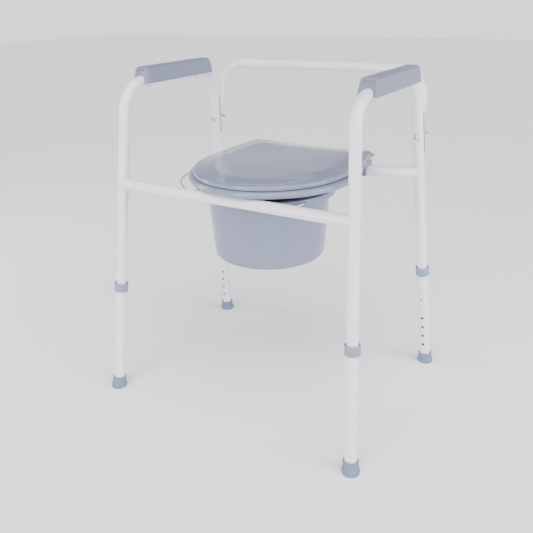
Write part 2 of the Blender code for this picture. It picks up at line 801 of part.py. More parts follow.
def seat_lid(axis):
    """The lid: a thin shell with a turned-down rim and two clips near its rear corners."""
    outline = oval(LID_HALF_WIDTH, LID_FRONT_Y, LID_REAR_Y, LID_REAR_HALF, 0.014, 10)
    centre = Vector((SEAT_X, -0.012))
    reach = 0.171
    border_top = 0.0122
    border = [(0.0, 0.0), (0.0, 0.0048), (0.0022, 0.0084), (0.0070, 0.0106), (0.0180, border_top)]
    bm = bmesh.new()
    rows = []
    for inset, rise in border:
        row = []
        share = rise / border_top
        for edge in outline:
            spot = centre + (edge - centre) * (1 - inset / reach)
            z = LID_EDGE_Z + rise + edge_lift(edge.y) * (1 - share) + lid_dish(*edge) * share
            row.append(bm.verts.new((spot.x, spot.y, z)))
        rows.append(row)
    for inset in (0.040, 0.080, 0.125):
        row = []
        for edge in outline:
            spot = centre + (edge - centre) * (1 - inset / reach)
            row.append(bm.verts.new((spot.x, spot.y, lid_height(*spot))))
        rows.append(row)
    count = len(outline)
    for one, two in zip(rows, rows[1:]):
        for i in range(count):
            j = (i + 1) % count
            bm.faces.new((one[i], one[j], two[j], two[i]))
    tip = bm.verts.new((*centre, lid_height(*centre)))
    for i in range(count):
        bm.faces.new((rows[-1][i], rows[-1][(i + 1) % count], tip))
    bmesh.ops.recalc_face_normals(bm, faces=bm.faces)
    piece = add_piece("seat_lid", finished(bm, "seat_lid"), GREY)
    wall = piece.modifiers.new("wall", "SOLIDIFY")
    wall.thickness = LID_WALL
    wall.offset = -1
    wall.use_rim = True
    add_clips(piece, "lid", *LID_CLIP_X, LID_CLIP)
    seated(piece, axis)


# ---------------------------------------------------------------- pail and bail


def pail_body_r(z):
    foot = PAIL_FOOT_Z + 0.010
    return PAIL_BODY_FOOT_R + (PAIL_BODY_TOP_R - PAIL_BODY_FOOT_R) * (z - foot) / (PAIL_RIM_TOP - foot)


def pail():
    """A tapered bucket with a turned-down rim, notched for the four support arms."""
    top, foot = PAIL_RIM_TOP, PAIL_FOOT_Z
    under = top - PAIL_WALL
    profile = [
        (0.0, foot + 0.0025),
        (PAIL_BODY_FOOT_R - 0.0110, foot + 0.0025),
        (PAIL_BODY_FOOT_R - 0.0050, foot + 0.0055),
        (PAIL_BODY_FOOT_R - PAIL_WALL, foot + 0.0120),
        (pail_body_r(top) - PAIL_WALL, top - 0.0020),
        (pail_body_r(top) - PAIL_WALL + 0.0015, top),
        (PAIL_RIM_R - 0.0020, top),
        (PAIL_RIM_R, top - 0.0020),
        (PAIL_RIM_R, PAIL_RIM_FOOT),
        (PAIL_RIM_R - 0.0022, PAIL_RIM_FOOT),
        (PAIL_RIM_R - 0.0022, under),
        (pail_body_r(under), under),
        (PAIL_BODY_FOOT_R, foot + 0.0100),
        (PAIL_BODY_FOOT_R - 0.0025, foot + 0.0042),
        (PAIL_BODY_FOOT_R - 0.0080, foot + 0.0008),
        (PAIL_BODY_FOOT_R - 0.0160, foot),
        (0.0, foot),
    ]
    axis = bpy.data.objects.new("pail_axis", None)
    PIECES.objects.link(axis)
    axis.location = (0, PAIL_Y, 0)
    piece = turned("pail", profile, 40, GREY, axis)
    cuts = bmesh.new()
    for side in SIDES.values():
        for end in ENDS.values():
            turn = math.atan2(end * math.sin(NOTCH_ANGLE), side * math.cos(NOTCH_ANGLE))
            place = Matrix.Rotation(turn, 4, "Z") @ Matrix.Translation((PAIL_RIM_R - 0.001, 0, 0.4665))
            place = place @ Matrix.Diagonal((0.012, 0.015, 0.0190, 1))
            bmesh.ops.create_cube(cuts, size=1, matrix=place)
    for way in (-1, 1):
        turn = Matrix.Translation((0, way * PAIL_RIM_R, BAIL_Z)) @ Matrix.Rotation(math.pi / 2, 4, "X")
        bmesh.ops.create_cone(
            cuts, cap_ends=True, segments=10, radius1=BAIL_R + 0.0004, radius2=BAIL_R + 0.0004, depth=0.012, matrix=turn
        )
    cutter = add_cutter("rim_cuts", finished(cuts, "rim_cuts"))
    cutter.parent = axis
    boolean(piece, cutter)
    return axis


def bail_point(reach, half_width):
    """A point of the bail from its distance to the ear axis and its place along the axis."""
    x = -reach * math.cos(BAIL_RISE)
    return Vector((x, PAIL_Y + half_width, BAIL_Z + reach * math.sin(BAIL_RISE)))


def bail_handle():
    """A wire loop hooked into the rim at front and rear."""
    steps = 16
    route = []
    for i in range(1, steps):
        angle = math.pi * i / steps
        across = -math.copysign(abs(math.cos(angle)) ** (2 / BAIL_POWER), math.cos(angle))
        out = math.sin(angle) ** (2 / BAIL_POWER)
        route.append(bail_point(BAIL_REACH * out, BAIL_HALF_WIDTH * across))
    ends = []
    for way in (-1, 1):
        hook = [bail_point(0, way * (PAIL_RIM_R - 0.0055)), bail_point(0, way * (BAIL_HALF_WIDTH - 0.0012))]
        hook.append(bail_point(0.0012, way * BAIL_HALF_WIDTH))
        ends.append(hook)
    path = ends[0] + route + ends[1][::-1]
    axis = bpy.data.objects.new("bail_axis", None)
    PIECES.objects.link(axis)
    axis.location = (0, PAIL_Y, BAIL_Z)
    piece = add_piece("bail_handle", wire_mesh("bail_handle", path, BAIL_R, 2), CHROME)
    seated(piece, axis)


def build():
    for side_name, side in SIDES.items():
        path = side_frame(side_name, side)
        armrest_pad(side_name, side, path)
        armrest_screws(side_name, side)
        back_bolt(side_name, side)
        wing_nut(side_name, side)
        for end_name, end in ENDS.items():
            leg(end_name + "_" + side_name, side, end)
            snap_button(end_name + "_" + side_name, side, end)
    front_crossbar()
    rear_crossbar()
    pail_rests()
    back_bar()
    hinge = bpy.data.objects.new("seat_axis", None)
    PIECES.objects.link(hinge)
    hinge.matrix_basis = Matrix.Translation((0, REAR_BAR_Y, REAR_BAR_Z))
    seat_ring(hinge)
    seat_lid(hinge)
    pail()
    bail_handle()


clear_scene()
PIECES = collection("commode_chair")
CUTTERS = collection("cutters")
FLOOR_BLOCK = add_cutter("floor_block", boxes_mesh("floor_block", [((-0.4, -0.4, -0.05), (0.4, 0.4, 0.0))]))
build()
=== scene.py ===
"""Looks for the commode chair: smooth tubes, mouldings, welds and fixings, and their materials.

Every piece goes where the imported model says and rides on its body. Metres, +Z up, -Y is the
chair's front, left is -X. Run as a script; the sidebar panel lists the sizes and the steps.
"""

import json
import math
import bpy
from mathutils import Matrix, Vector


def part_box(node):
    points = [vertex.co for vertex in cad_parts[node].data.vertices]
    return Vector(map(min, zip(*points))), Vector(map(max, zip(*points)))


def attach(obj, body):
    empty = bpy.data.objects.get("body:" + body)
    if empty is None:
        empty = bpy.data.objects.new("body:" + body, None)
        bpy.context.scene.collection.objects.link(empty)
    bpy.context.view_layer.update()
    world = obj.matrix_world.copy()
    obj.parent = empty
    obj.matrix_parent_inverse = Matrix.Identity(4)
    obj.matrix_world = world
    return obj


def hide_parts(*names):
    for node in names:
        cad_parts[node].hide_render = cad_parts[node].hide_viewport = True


bl_info = {
    "name": "Commode Chair Looks",
    "version": (1, 0, 0),
    "blender": (4, 5, 0),
    "location": "View3D > Sidebar > Commode",
    "description": "Builds the finished pieces of a commode chair around its packed frame",
    "category": "Object",
}

import bmesh
import bpy
from mathutils import Matrix, Vector

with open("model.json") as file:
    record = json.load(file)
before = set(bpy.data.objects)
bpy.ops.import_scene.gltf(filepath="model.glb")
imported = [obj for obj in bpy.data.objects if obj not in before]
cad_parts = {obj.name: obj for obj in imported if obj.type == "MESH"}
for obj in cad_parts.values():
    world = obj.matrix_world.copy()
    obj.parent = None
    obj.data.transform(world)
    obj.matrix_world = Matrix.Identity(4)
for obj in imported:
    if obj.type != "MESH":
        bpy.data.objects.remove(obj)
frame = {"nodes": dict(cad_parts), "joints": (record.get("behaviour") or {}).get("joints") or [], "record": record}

SIDES = {"left": -1, "right": 1}
ENDS = {"front": -1, "rear": 1}
FEET = {m["name"][len("foot_") :]: Vector(m["pos_m"]) for m in frame["record"]["mounts"]}
JOINTS = {j["name"]: j for j in frame["joints"]}
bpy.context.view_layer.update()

# Boxes of the CAD nodes that sizes and places come from.
RING_LOW, RING_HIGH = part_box("seat_ring")
LID_LOW, LID_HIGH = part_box("seat_lid")
PAIL_LOW, PAIL_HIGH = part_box("pail")
PAD_LOW, PAD_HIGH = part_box("armrest_pad_right")
FRONT_LOW, FRONT_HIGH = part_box("front_crossbar")
BAIL_LOW, BAIL_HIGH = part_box("bail_handle")

# Round stretches.
TUBE_SIDES = 56
LATHE_SIDES = 72
PAIL_SIDES = 192
BEND_STEPS = 28
SMALL_GAP = 0.0003
SHARP = math.radians(32)

# Where things stand along a leg, from the floor.
UPPER_TUBE_END = 0.142
LEG_TUBE_FOOT = 0.0070
LEG_TUBE_TOP = 0.2610
HOLE_FIRST = 0.2052
BUTTON_UP = 0.1802
BACK_BOLT_UP = 0.571
BACK_TAB_FOOT = 0.537
BACK_TAB_TOP = 0.604

# The seat's hinge line is the rear crossbar.
HINGE = Vector(JOINTS["seat_hinge"]["pos_m"])
REAR_BAR_STRAIGHT = 0.166

# Back bar.
BACK_ROUND = Vector((0.2510, 0.1835, 0.6340))
BACK_TOP = Vector((0.1890, 0.1970, 0.6955))
TAB_INNER_R = 0.0116
TAB_OUTER_R = 0.0150
TAB_HALF_ANGLE = math.radians(80)

# Seat and lid.
OVAL_CENTRE_Y = -0.002
OPENING_Y = -0.034
OPENING_HALF_X = 0.104
OPENING_HALF_Y = 0.117
RING_BOTTOM = 0.4968
RING_TOP = 0.5103
RING_REAR_Y = 0.1215
RING_REAR_HALF = 0.1530
SEAT_X = (RING_LOW.x + RING_HIGH.x) / 2
LID_EDGE_Z = 0.5120
LID_REAR_Y = 0.1715
LID_REAR_HALF = 0.1515
LID_FRONT_Y = -0.1865
LID_HALF_WIDTH = 0.1650
LID_WALL = 0.0026

# Pail and bail.
PAIL_Y = (PAIL_LOW.y + PAIL_HIGH.y) / 2
PAIL_BODY_TOP_R = 0.1300
PAIL_BODY_FOOT_R = 0.1192
PAIL_WALL = 0.0024
PAIL_RIM_FOOT = 0.4660
NOTCH_ANGLE = math.radians(32.4)
BAIL_Z = JOINTS["bail_swing"]["pos_m"][2]
BAIL_HALF_WIDTH = 0.1440
BAIL_REACH = 0.1870
BAIL_RISE = math.atan(0.0145 / 0.187)
BAIL_POWER = 2.55

# Support arms under the pail's rim.
REST_X = 0.119
REST_R = 0.0022
REST_ROOT = {"front": 0.4765, "rear": 0.4775}
REST_TIP_Y = {"front": -0.078, "rear": 0.042}
REST_TIP_Z = 0.4695

# Armrest fixing screws.
PAD_SCREW_Y = (-0.082, 0.082)

# A three-quarter view from the front right, a little above the armrests.
CAMERA_PLACE = Vector((0.650355, -1.096464, 0.837768))
CAMERA_RIGHT = Vector((0.8578, 0.5138, -0.0209))
CAMERA_BACK = Vector((0.4781, -0.7819, 0.4004))
CAMERA_LENS = 41.713


# ------------------------------------------------------------------ sizes and colours


def length_property(name, description, default):
    return bpy.props.FloatProperty(name=name, description=description, default=default, unit="LENGTH")


def colour_property(name, description, default):
    return bpy.props.StringProperty(name=name, description=description, default=default)


class CommodeSizes(bpy.types.PropertyGroup):
    """Sizes of the finished pieces."""

    tube_radius: length_property("Frame tube radius", "Outer radius of the bent frame tubes, half of 22.2 mm", 0.0111)
    leg_radius: length_property("Lower leg radius", "Outer radius of the lower leg tubes, half of 25.4 mm", 0.0127)
    wall: length_property("Tube wall", "Wall of the lower leg tubes", 0.0012)
    rail_height: length_property("Rail height", "Height of the armrest rail's axis", 0.684)
    bend_radius: length_property("Bend radius", "Bend of the rail's corners, on the axis", 0.055)
    hole_count: bpy.props.IntProperty(
        name="Height holes", description="Holes in each lower leg", default=7, min=1
    )
    hole_pitch: length_property("Hole pitch", "Distance between height holes", 0.025)
    hole_radius: length_property("Hole radius", "Radius of a height hole", 0.0035)
    bead_radius: length_property("Weld bead radius", "Half the width of a weld bead", 0.0017)
    pad_corner: length_property("Pad corner", "Rounding of the armrest pads' upper edges", 0.0085)
    lid_border: length_property("Lid border", "Width of the lid's sloping border", 0.043)
    lid_rise: length_property("Lid rise", "Height of the lid's flat top over its edge", 0.0132)
    bail_radius: length_property("Bail wire radius", "Half the wire's diameter", 0.0016)


class CommodeColours(bpy.types.PropertyGroup):
    """Colours of the finishes, as sRGB hex values."""

    powder_coat: colour_property("Powder coat", "White of the steel frame", "#E6E4EC")
    seat_plastic: colour_property("Seat plastic", "Blue-grey of the seat, lid and pail", "#777E94")
    pad_plastic: colour_property("Pad plastic", "Blue-grey of the armrest pads", "#70768A")
    collar_plastic: colour_property("Collar plastic", "Pale blue-grey of the leg collars", "#7E8CA1")
    foot_rubber: colour_property("Foot rubber", "Blue-grey of the rubber feet", "#66748E")


def sizes():
    return bpy.context.scene.commode_sizes


def colours():
    return bpy.context.scene.commode_colours


# ------------------------------------------------------------------ materials


def linear(hex_colour):
    """An sRGB hex colour as linear RGBA."""
    parts = [int(hex_colour[i : i + 2], 16) / 255 for i in (1, 3, 5)]
    return (*[p / 12.92 if p <= 0.04045 else ((p + 0.055) / 1.055) ** 2.4 for p in parts], 1.0)


def add_node(tree, kind, settings=None, inputs=None, links=None):
    """Adds a node: settings are its properties, inputs its socket values, links what feeds them."""
    node = tree.nodes.new(kind)
    for name, value in (settings or {}).items():
        setattr(node, name, value)
    for name, value in (inputs or {}).items():
        node.inputs[name].default_value = value
    for name, source in (links or {}).items():
        tree.links.new(source, node.inputs[name])
    return node


def new_material(name, colour, roughness, metallic=0.0, **more):
    """A Principled material with its constants on the shader's own sockets."""
    made = bpy.data.materials.new(name)
    made.use_nodes = True
    tree = made.node_tree
    shader = tree.nodes["Principled BSDF"]
    shader.inputs["Base Color"].default_value = linear(colour)
    shader.inputs["Roughness"].default_value = roughness
    shader.inputs["Metallic"].default_value = metallic
    for socket, value in more.items():
        shader.inputs[socket.replace("_", " ")].default_value = value
    return made, tree, shader


def place_nodes(tree):
    return add_node(tree, "ShaderNodeTexCoord").outputs["Object"]


def bump(tree, shader, height, distance, strength):
    node = add_node(
        tree, "ShaderNodeBump", inputs={"Distance": distance, "Strength": strength}, links={"Height": height}
    )
    tree.links.new(node.outputs["Normal"], shader.inputs["Normal"])


def varied(tree, shader, socket, source, low, high):
    """Drives a shader socket from a 0 to 1 pattern between two values."""
    node = add_node(
        tree,
        "ShaderNodeMapRange",
        inputs={"From Min": 0.3, "From Max": 0.7, "To Min": low, "To Max": high},
        links={"Value": source},
    )
    tree.links.new(node.outputs["Result"], shader.inputs[socket])


def tinted(tree, shader, source, one, two):
    """Mixes two near colours by a pattern."""
    node = add_node(tree, "ShaderNodeMix", settings={"data_type": "RGBA"}, links={"Factor": source})
    colour_inputs = [s for s in node.inputs if s.type == "RGBA"]
    colour_inputs[0].default_value = linear(one)
    colour_inputs[1].default_value = linear(two)
    colour_output = [s for s in node.outputs if s.type == "RGBA"][0]
    tree.links.new(colour_output, shader.inputs["Base Color"])


def shade(hex_colour, factor):
    """A hex colour made lighter or darker."""
    parts = [min(255, int(int(hex_colour[i : i + 2], 16) * factor)) for i in (1, 3, 5)]
    return "#%02X%02X%02X" % tuple(parts)


def noise(tree, where, per_metre, detail=2.0, roughness=0.5):
    node = add_node(
        tree,
        "ShaderNodeTexNoise",
        inputs={"Scale": per_metre, "Detail": detail, "Roughness": roughness},
        links={"Vector": where},
    )
    return node.outputs["Fac"]


def finish(name, hex_colour, gloss, peel, sway, tint, IOR=1.5, **more):
    """A coat or moulding.

    gloss is its low and high roughness; peel the per-metre scale, depth and strength of its relief;
    sway the per-metre scale of the drift in gloss; tint its per-metre scale and two brightnesses.
    """
    made, tree, shader = new_material(name, hex_colour, gloss[0], IOR=IOR, **more)
    where = place_nodes(tree)
    bump(tree, shader, noise(tree, where, *peel[0]), *peel[1:])
    varied(tree, shader, "Roughness", noise(tree, where, sway), *gloss)
    scale, low, high = tint
    tinted(tree, shader, noise(tree, where, *scale), shade(hex_colour, low), shade(hex_colour, high))
    return made


def pad_plastic():
    """Moulded PVC armrest skin: satin, with a fine leather grain of about 1 mm."""
    hex_colour = colours().pad_plastic
    made, tree, shader = new_material("grained_pvc", hex_colour, 0.42, IOR=1.5)
    where = place_nodes(tree)
    cells = add_node(tree, "ShaderNodeTexVoronoi", inputs={"Scale": 1000.0}, links={"Vector": where})
    bump(tree, shader, cells.outputs["Distance"], 0.00010, 0.22)
    varied(tree, shader, "Roughness", noise(tree, where, 120.0), 0.36, 0.48)
    tinted(tree, shader, noise(tree, where, 30.0), hex_colour, shade(hex_colour, 1.05))
    return made


def metal(name, colour, low, high, per_metre):
    """A plated or drawn metal whose gloss varies between two roughness values."""
    made, tree, shader = new_material(name, colour, low, metallic=1.0)
    where = place_nodes(tree)
    varied(tree, shader, "Roughness", noise(tree, where, per_metre, detail=3.0), low, high)
    tinted(tree, shader, noise(tree, where, per_metre / 4), colour, shade(colour, 0.92))
    bump(tree, shader, noise(tree, where, per_metre * 2), 0.00002, 0.2)
    return made


MATERIALS = {}


def material(name):
    """The finish of that name, made the first time it is asked for."""
    makers = {
        # Polyester powder coat baked on steel tube: glossy white, with an orange peel of about
        # 2.5 mm drawn shallow and slow drifts in gloss every 40 mm or so.
        "powder_coat": lambda: finish(
            "polyester_powder_coat",
            colours().powder_coat,
            (0.21, 0.30),
            ((400.0,), 0.00004, 0.35),
            25.0,
            ((18.0,), 1.0, 0.985),
            Coat_Weight=0.25,
            Coat_Roughness=0.12,
        ),
        # Polypropylene from a polished mould: it mirrors its surroundings, and sink and flow
        # marks of about 30 mm make the reflections swim a little.
        "gloss_plastic": lambda: finish(
            "polished_polypropylene",
            colours().seat_plastic,
            (0.085, 0.15),
            ((28.0, 1.0), 0.0006, 0.10),
            90.0,
            ((12.0,), 1.0, 1.03),
            IOR=1.49,
        ),
        "pad_plastic": pad_plastic,
        # Moulded polyethylene collar: a soft satin with faint mottling.
        "collar_plastic": lambda: finish(
            "satin_polyethylene",
            colours().collar_plastic,
            (0.34, 0.46),
            ((1200.0,), 0.00004, 0.3),
            200.0,
            ((60.0,), 1.0, 0.95),
            IOR=1.51,
        ),
        # Moulded synthetic rubber: dull, with a dusty bloom and a slight sheen on its edges.
        "foot_rubber": lambda: finish(
            "moulded_rubber",
            colours().foot_rubber,
            (0.5, 0.66),
            ((900.0, 3.0), 0.00008, 0.4),
            150.0,
            ((70.0, 4.0), 0.93, 1.10),
            IOR=1.52,
        ),
        # Cast brass, tumbled: warm, a little dull.
        "brass": lambda: metal("tumbled_brass", "#D9B46A", 0.22, 0.38, 900.0),
        # Bright zinc and chrome plate: a clean mirror with slight haze.
        "plate": lambda: metal("bright_plate", "#CDD0D6", 0.10, 0.20, 700.0),
        # Drawn steel wire: soft grey streaks.
        "wire": lambda: metal("drawn_steel_wire", "#B9BCC2", 0.24, 0.36, 500.0),
        # Tempered spring strip: darker and duller.
        "spring": lambda: metal("tempered_spring_strip", "#8C8E94", 0.30, 0.42, 600.0),
    }
    if name not in MATERIALS:
        MATERIALS[name] = makers[name]()
    return MATERIALS[name]


# ------------------------------------------------------------------ mesh helpers


def new_object(name, mesh):
    made = bpy.data.objects.new(name, mesh)
    bpy.context.scene.collection.objects.link(made)
    return made


def from_bmesh(name, bm):
    bmesh.ops.remove_doubles(bm, verts=bm.verts, dist=1e-7)
    bmesh.ops.recalc_face_normals(bm, faces=bm.faces)
    mesh = bpy.data.meshes.new(name)
    bm.to_mesh(mesh)
    bm.free()
    return mesh


def evaluated(thing):
    """Turns an object's live modifiers into a plain mesh."""
    graph = bpy.context.evaluated_depsgraph_get()
    mesh = bpy.data.meshes.new_from_object(thing.evaluated_get(graph))
    thing.modifiers.clear()
    thing.data = mesh
    return thing


def combine(thing, cutter, operation="DIFFERENCE"):
    """Cuts a mesh object away from another, or joins it on, and removes it."""
    step = thing.modifiers.new("combine", "BOOLEAN")
    step.operation = operation
    step.solver = "EXACT"
    step.object = cutter
    evaluated(thing)
    bpy.data.objects.remove(cutter)
    return thing


def finish_piece(thing, finish_name, slot, body, *nodes, sharp=SHARP):
    """Shades a piece, gives it its finish, ties it to its body and hides the nodes it stands for."""
    mesh = thing.data
    if not mesh.polygons:
        raise RuntimeError(thing.name + " came out empty")
    mesh.materials.clear()
    mesh.materials.append(material(finish_name))
    for face in mesh.polygons:
        face.material_index = 0
    mesh.shade_smooth()
    mesh.set_sharp_from_angle(angle=sharp)
    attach(thing, body)
    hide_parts(*nodes)
    return thing


def corner_arc(before, corner, after, radius, steps):
    """Points of the arc that rounds a corner; works on 2D and 3D vectors."""
    to_before = (before - corner).normalized()
    to_after = (after - corner).normalized()
    half = to_before.angle(to_after) / 2
    centre = corner + (to_before + to_after).normalized() * radius / math.sin(half)
    start = corner + to_before * radius / math.tan(half) - centre
    end = corner + to_after * radius / math.tan(half) - centre
    sweep = start.angle(end)
    arc = []
    for i in range(steps + 1):
        t = i / steps
        blend = start * math.sin((1 - t) * sweep) + end * math.sin(t * sweep)
        arc.append(centre + blend / math.sin(sweep))
    return arc


def rounded_path(corners, radius, steps):
    """The corners of an open path, each inner one replaced by an arc."""
    path = [corners[0]]
    for before, corner, after in zip(corners, corners[1:], corners[2:]):
        path += corner_arc(before, corner, after, radius, steps)
    return path + [corners[-1]]


def rounded_outline(points, closed=False, steps=5):
    """An outline of (a, b, rounding) points with its corners rounded."""
    flat = [Vector(p[:2]) for p in points]
    out = []
    for i, (a, b, radius) in enumerate(points):
        at_end = not closed and i in (0, len(points) - 1)
        if radius <= 0 or at_end:
            out.append(flat[i])
        else:
            out += corner_arc(flat[i - 1], flat[i], flat[(i + 1) % len(flat)], radius, steps)
    return out


def lathe(name, outline, sides=LATHE_SIDES, closed=False, place=None):
    """An outline of (radius, height) points turned about Z. A radius of 0 closes a pole."""
    bm = bmesh.new()
    rings = []
    for radius, height in outline:
        if radius < 1e-6:
            rings.append([bm.verts.new((0, 0, height))])
            continue
        ring = []
        for i in range(sides):
            angle = 2 * math.pi * i / sides
            ring.append(bm.verts.new((radius * math.cos(angle), radius * math.sin(angle), height)))
        rings.append(ring)
    pairs = list(zip(rings, rings[1:]))
    if closed:
        pairs.append((rings[-1], rings[0]))
    for one, two in pairs:
        for i in range(sides):
            j = (i + 1) % sides
            if len(one) == 1:
                bm.faces.new((one[0], two[i], two[j]))
            elif len(two) == 1:
                bm.faces.new((one[i], one[j], two[0]))
            else:
                bm.faces.new((one[i], one[j], two[j], two[i]))
    if place:
        bmesh.ops.transform(bm, matrix=place, verts=bm.verts)
    return new_object(name, from_bmesh(name, bm))


def loft(name, loops, closed_along=False):
    """Skins loops of equal length and closes the ends unless it runs round."""
    bm = bmesh.new()
    rows = [[bm.verts.new(point) for point in loop] for loop in loops]
    count = len(rows[0])
    pairs = list(zip(rows, rows[1:]))
    if closed_along:
        pairs.append((rows[-1], rows[0]))
    for one, two in pairs:
        for i in range(count):
            j = (i + 1) % count
            bm.faces.new((one[i], one[j], two[j], two[i]))
    if not closed_along:
        bm.faces.new(rows[0][::-1])
        bm.faces.new(rows[-1])
    return new_object(name, from_bmesh(name, bm))


def prism(name, outline, low, high, rounding=0.0008):
    """An upright (y, z) outline carried along X, with its long edges rounded."""
    points = rounded_outline([(y, z, rounding) for y, z in outline], closed=True, steps=3)
    bm = bmesh.new()
    near = bm.faces.new([bm.verts.new((low, y, z)) for y, z in points])
    grown = bmesh.ops.extrude_face_region(bm, geom=[near])
    moved = [v for v in grown["geom"] if isinstance(v, bmesh.types.BMVert)]
    bmesh.ops.translate(bm, verts=moved, vec=(high - low, 0, 0))
    return new_object(name, from_bmesh(name, bm))


def rod(name, start, end, radius, sides=32):
    """A closed round rod between two points."""
    bm = bmesh.new()
    start, end = Vector(start), Vector(end)
    turn = (end - start).to_track_quat("Z", "Y").to_matrix().to_4x4()
    bmesh.ops.create_cone(
        bm,
        cap_ends=True,
        segments=sides,
        radius1=radius,
        radius2=radius,
        depth=(end - start).length,
        matrix=Matrix.Translation((start + end) / 2) @ turn,
    )
    return new_object(name, from_bmesh(name, bm))


def path_mesh(name, points, closed=False):
    """A path as a mesh of edges, for a node tree to work on."""
    mesh = bpy.data.meshes.new(name)
    edges = [(i, i + 1) for i in range(len(points) - 1)]
    if closed:
        edges.append((len(points) - 1, 0))
    mesh.from_pydata([tuple(p) for p in points], edges, [])
    return mesh


# ------------------------------------------------------------------ node trees


def new_tree(name, inputs):
    """A geometry node group with the given (name, socket type, default) inputs."""
    tree = bpy.data.node_groups.new(name, "GeometryNodeTree")
    tree.interface.new_socket("Geometry", in_out="INPUT", socket_type="NodeSocketGeometry")
    for label, kind, default in inputs:
        socket = tree.interface.new_socket(label, in_out="INPUT", socket_type=kind)
        if default is not None:
            socket.default_value = default
    tree.interface.new_socket("Geometry", in_out="OUTPUT", socket_type="NodeSocketGeometry")
    return tree, tree.nodes.new("NodeGroupInput").outputs


def close_tree(tree, geometry, paint):
    """Ends a tree in Realize Instances and Set Material."""
    real = add_node(tree, "GeometryNodeRealizeInstances", links={"Geometry": geometry})
    painted = add_node(
        tree, "GeometryNodeSetMaterial", links={"Geometry": real.outputs[0], "Material": paint}
    )
    add_node(tree, "NodeGroupOutput", links={"Geometry": painted.outputs[0]})
    return tree


def number(tree, operation, *values):
    """A maths node fed by sockets and plain numbers; gives its output."""
    node = add_node(tree, "ShaderNodeMath", settings={"operation": operation})
    for socket, value in zip(node.inputs, values):
        if isinstance(value, (int, float)):
            socket.default_value = value
        else:
            tree.links.new(value, socket)
    return node.outputs[0]


def tube_tree():
    """A round tube or wire along a path."""
    tree, given = new_tree(
        "tube_along_path",
        [
            ("Radius", "NodeSocketFloat", 0.01),
            ("Sides", "NodeSocketInt", 48),
            ("Material", "NodeSocketMaterial", None),
        ],
    )
    line = add_node(tree, "GeometryNodeMeshToCurve", links={"Mesh": given["Geometry"]})
    ring = add_node(
        tree,
        "GeometryNodeCurvePrimitiveCircle",
        links={"Resolution": given["Sides"], "Radius": given["Radius"]},
    )
    skin = add_node(
        tree,
        "GeometryNodeCurveToMesh",
        inputs={"Fill Caps": True},
        links={"Curve": line.outputs[0], "Profile Curve": ring.outputs[0]},
    )
    return close_tree(tree, skin.outputs[0], given["Material"])


def bead_tree():
    """A weld bead along a closed seam, its width rising and falling with each ripple."""
    tree, given = new_tree(
        "weld_bead",
        [
            ("Radius", "NodeSocketFloat", 0.0017),
            ("Ripple", "NodeSocketFloat", 0.12),
            ("Points per ripple", "NodeSocketFloat", 5.0),
            ("Material", "NodeSocketMaterial", None),
        ],
    )
    line = add_node(tree, "GeometryNodeMeshToCurve", links={"Mesh": given["Geometry"]})
    index = add_node(tree, "GeometryNodeInputIndex").outputs[0]
    turns = number(tree, "DIVIDE", index, given["Points per ripple"])
    wave = number(tree, "SINE", number(tree, "MULTIPLY", turns, 2 * math.pi))
    swell = number(tree, "MULTIPLY_ADD", wave, given["Ripple"], 1.0)
    sized = add_node(
        tree, "GeometryNodeSetCurveRadius", links={"Curve": line.outputs[0], "Radius": swell}
    )
    ring = add_node(
        tree, "GeometryNodeCurvePrimitiveCircle", inputs={"Resolution": 12}, links={"Radius": given["Radius"]}
    )
    skin = add_node(
        tree,
        "GeometryNodeCurveToMesh",
        links={"Curve": sized.outputs[0], "Profile Curve": ring.outputs[0], "Scale": swell},
    )
    return close_tree(tree, skin.outputs[0], given["Material"])


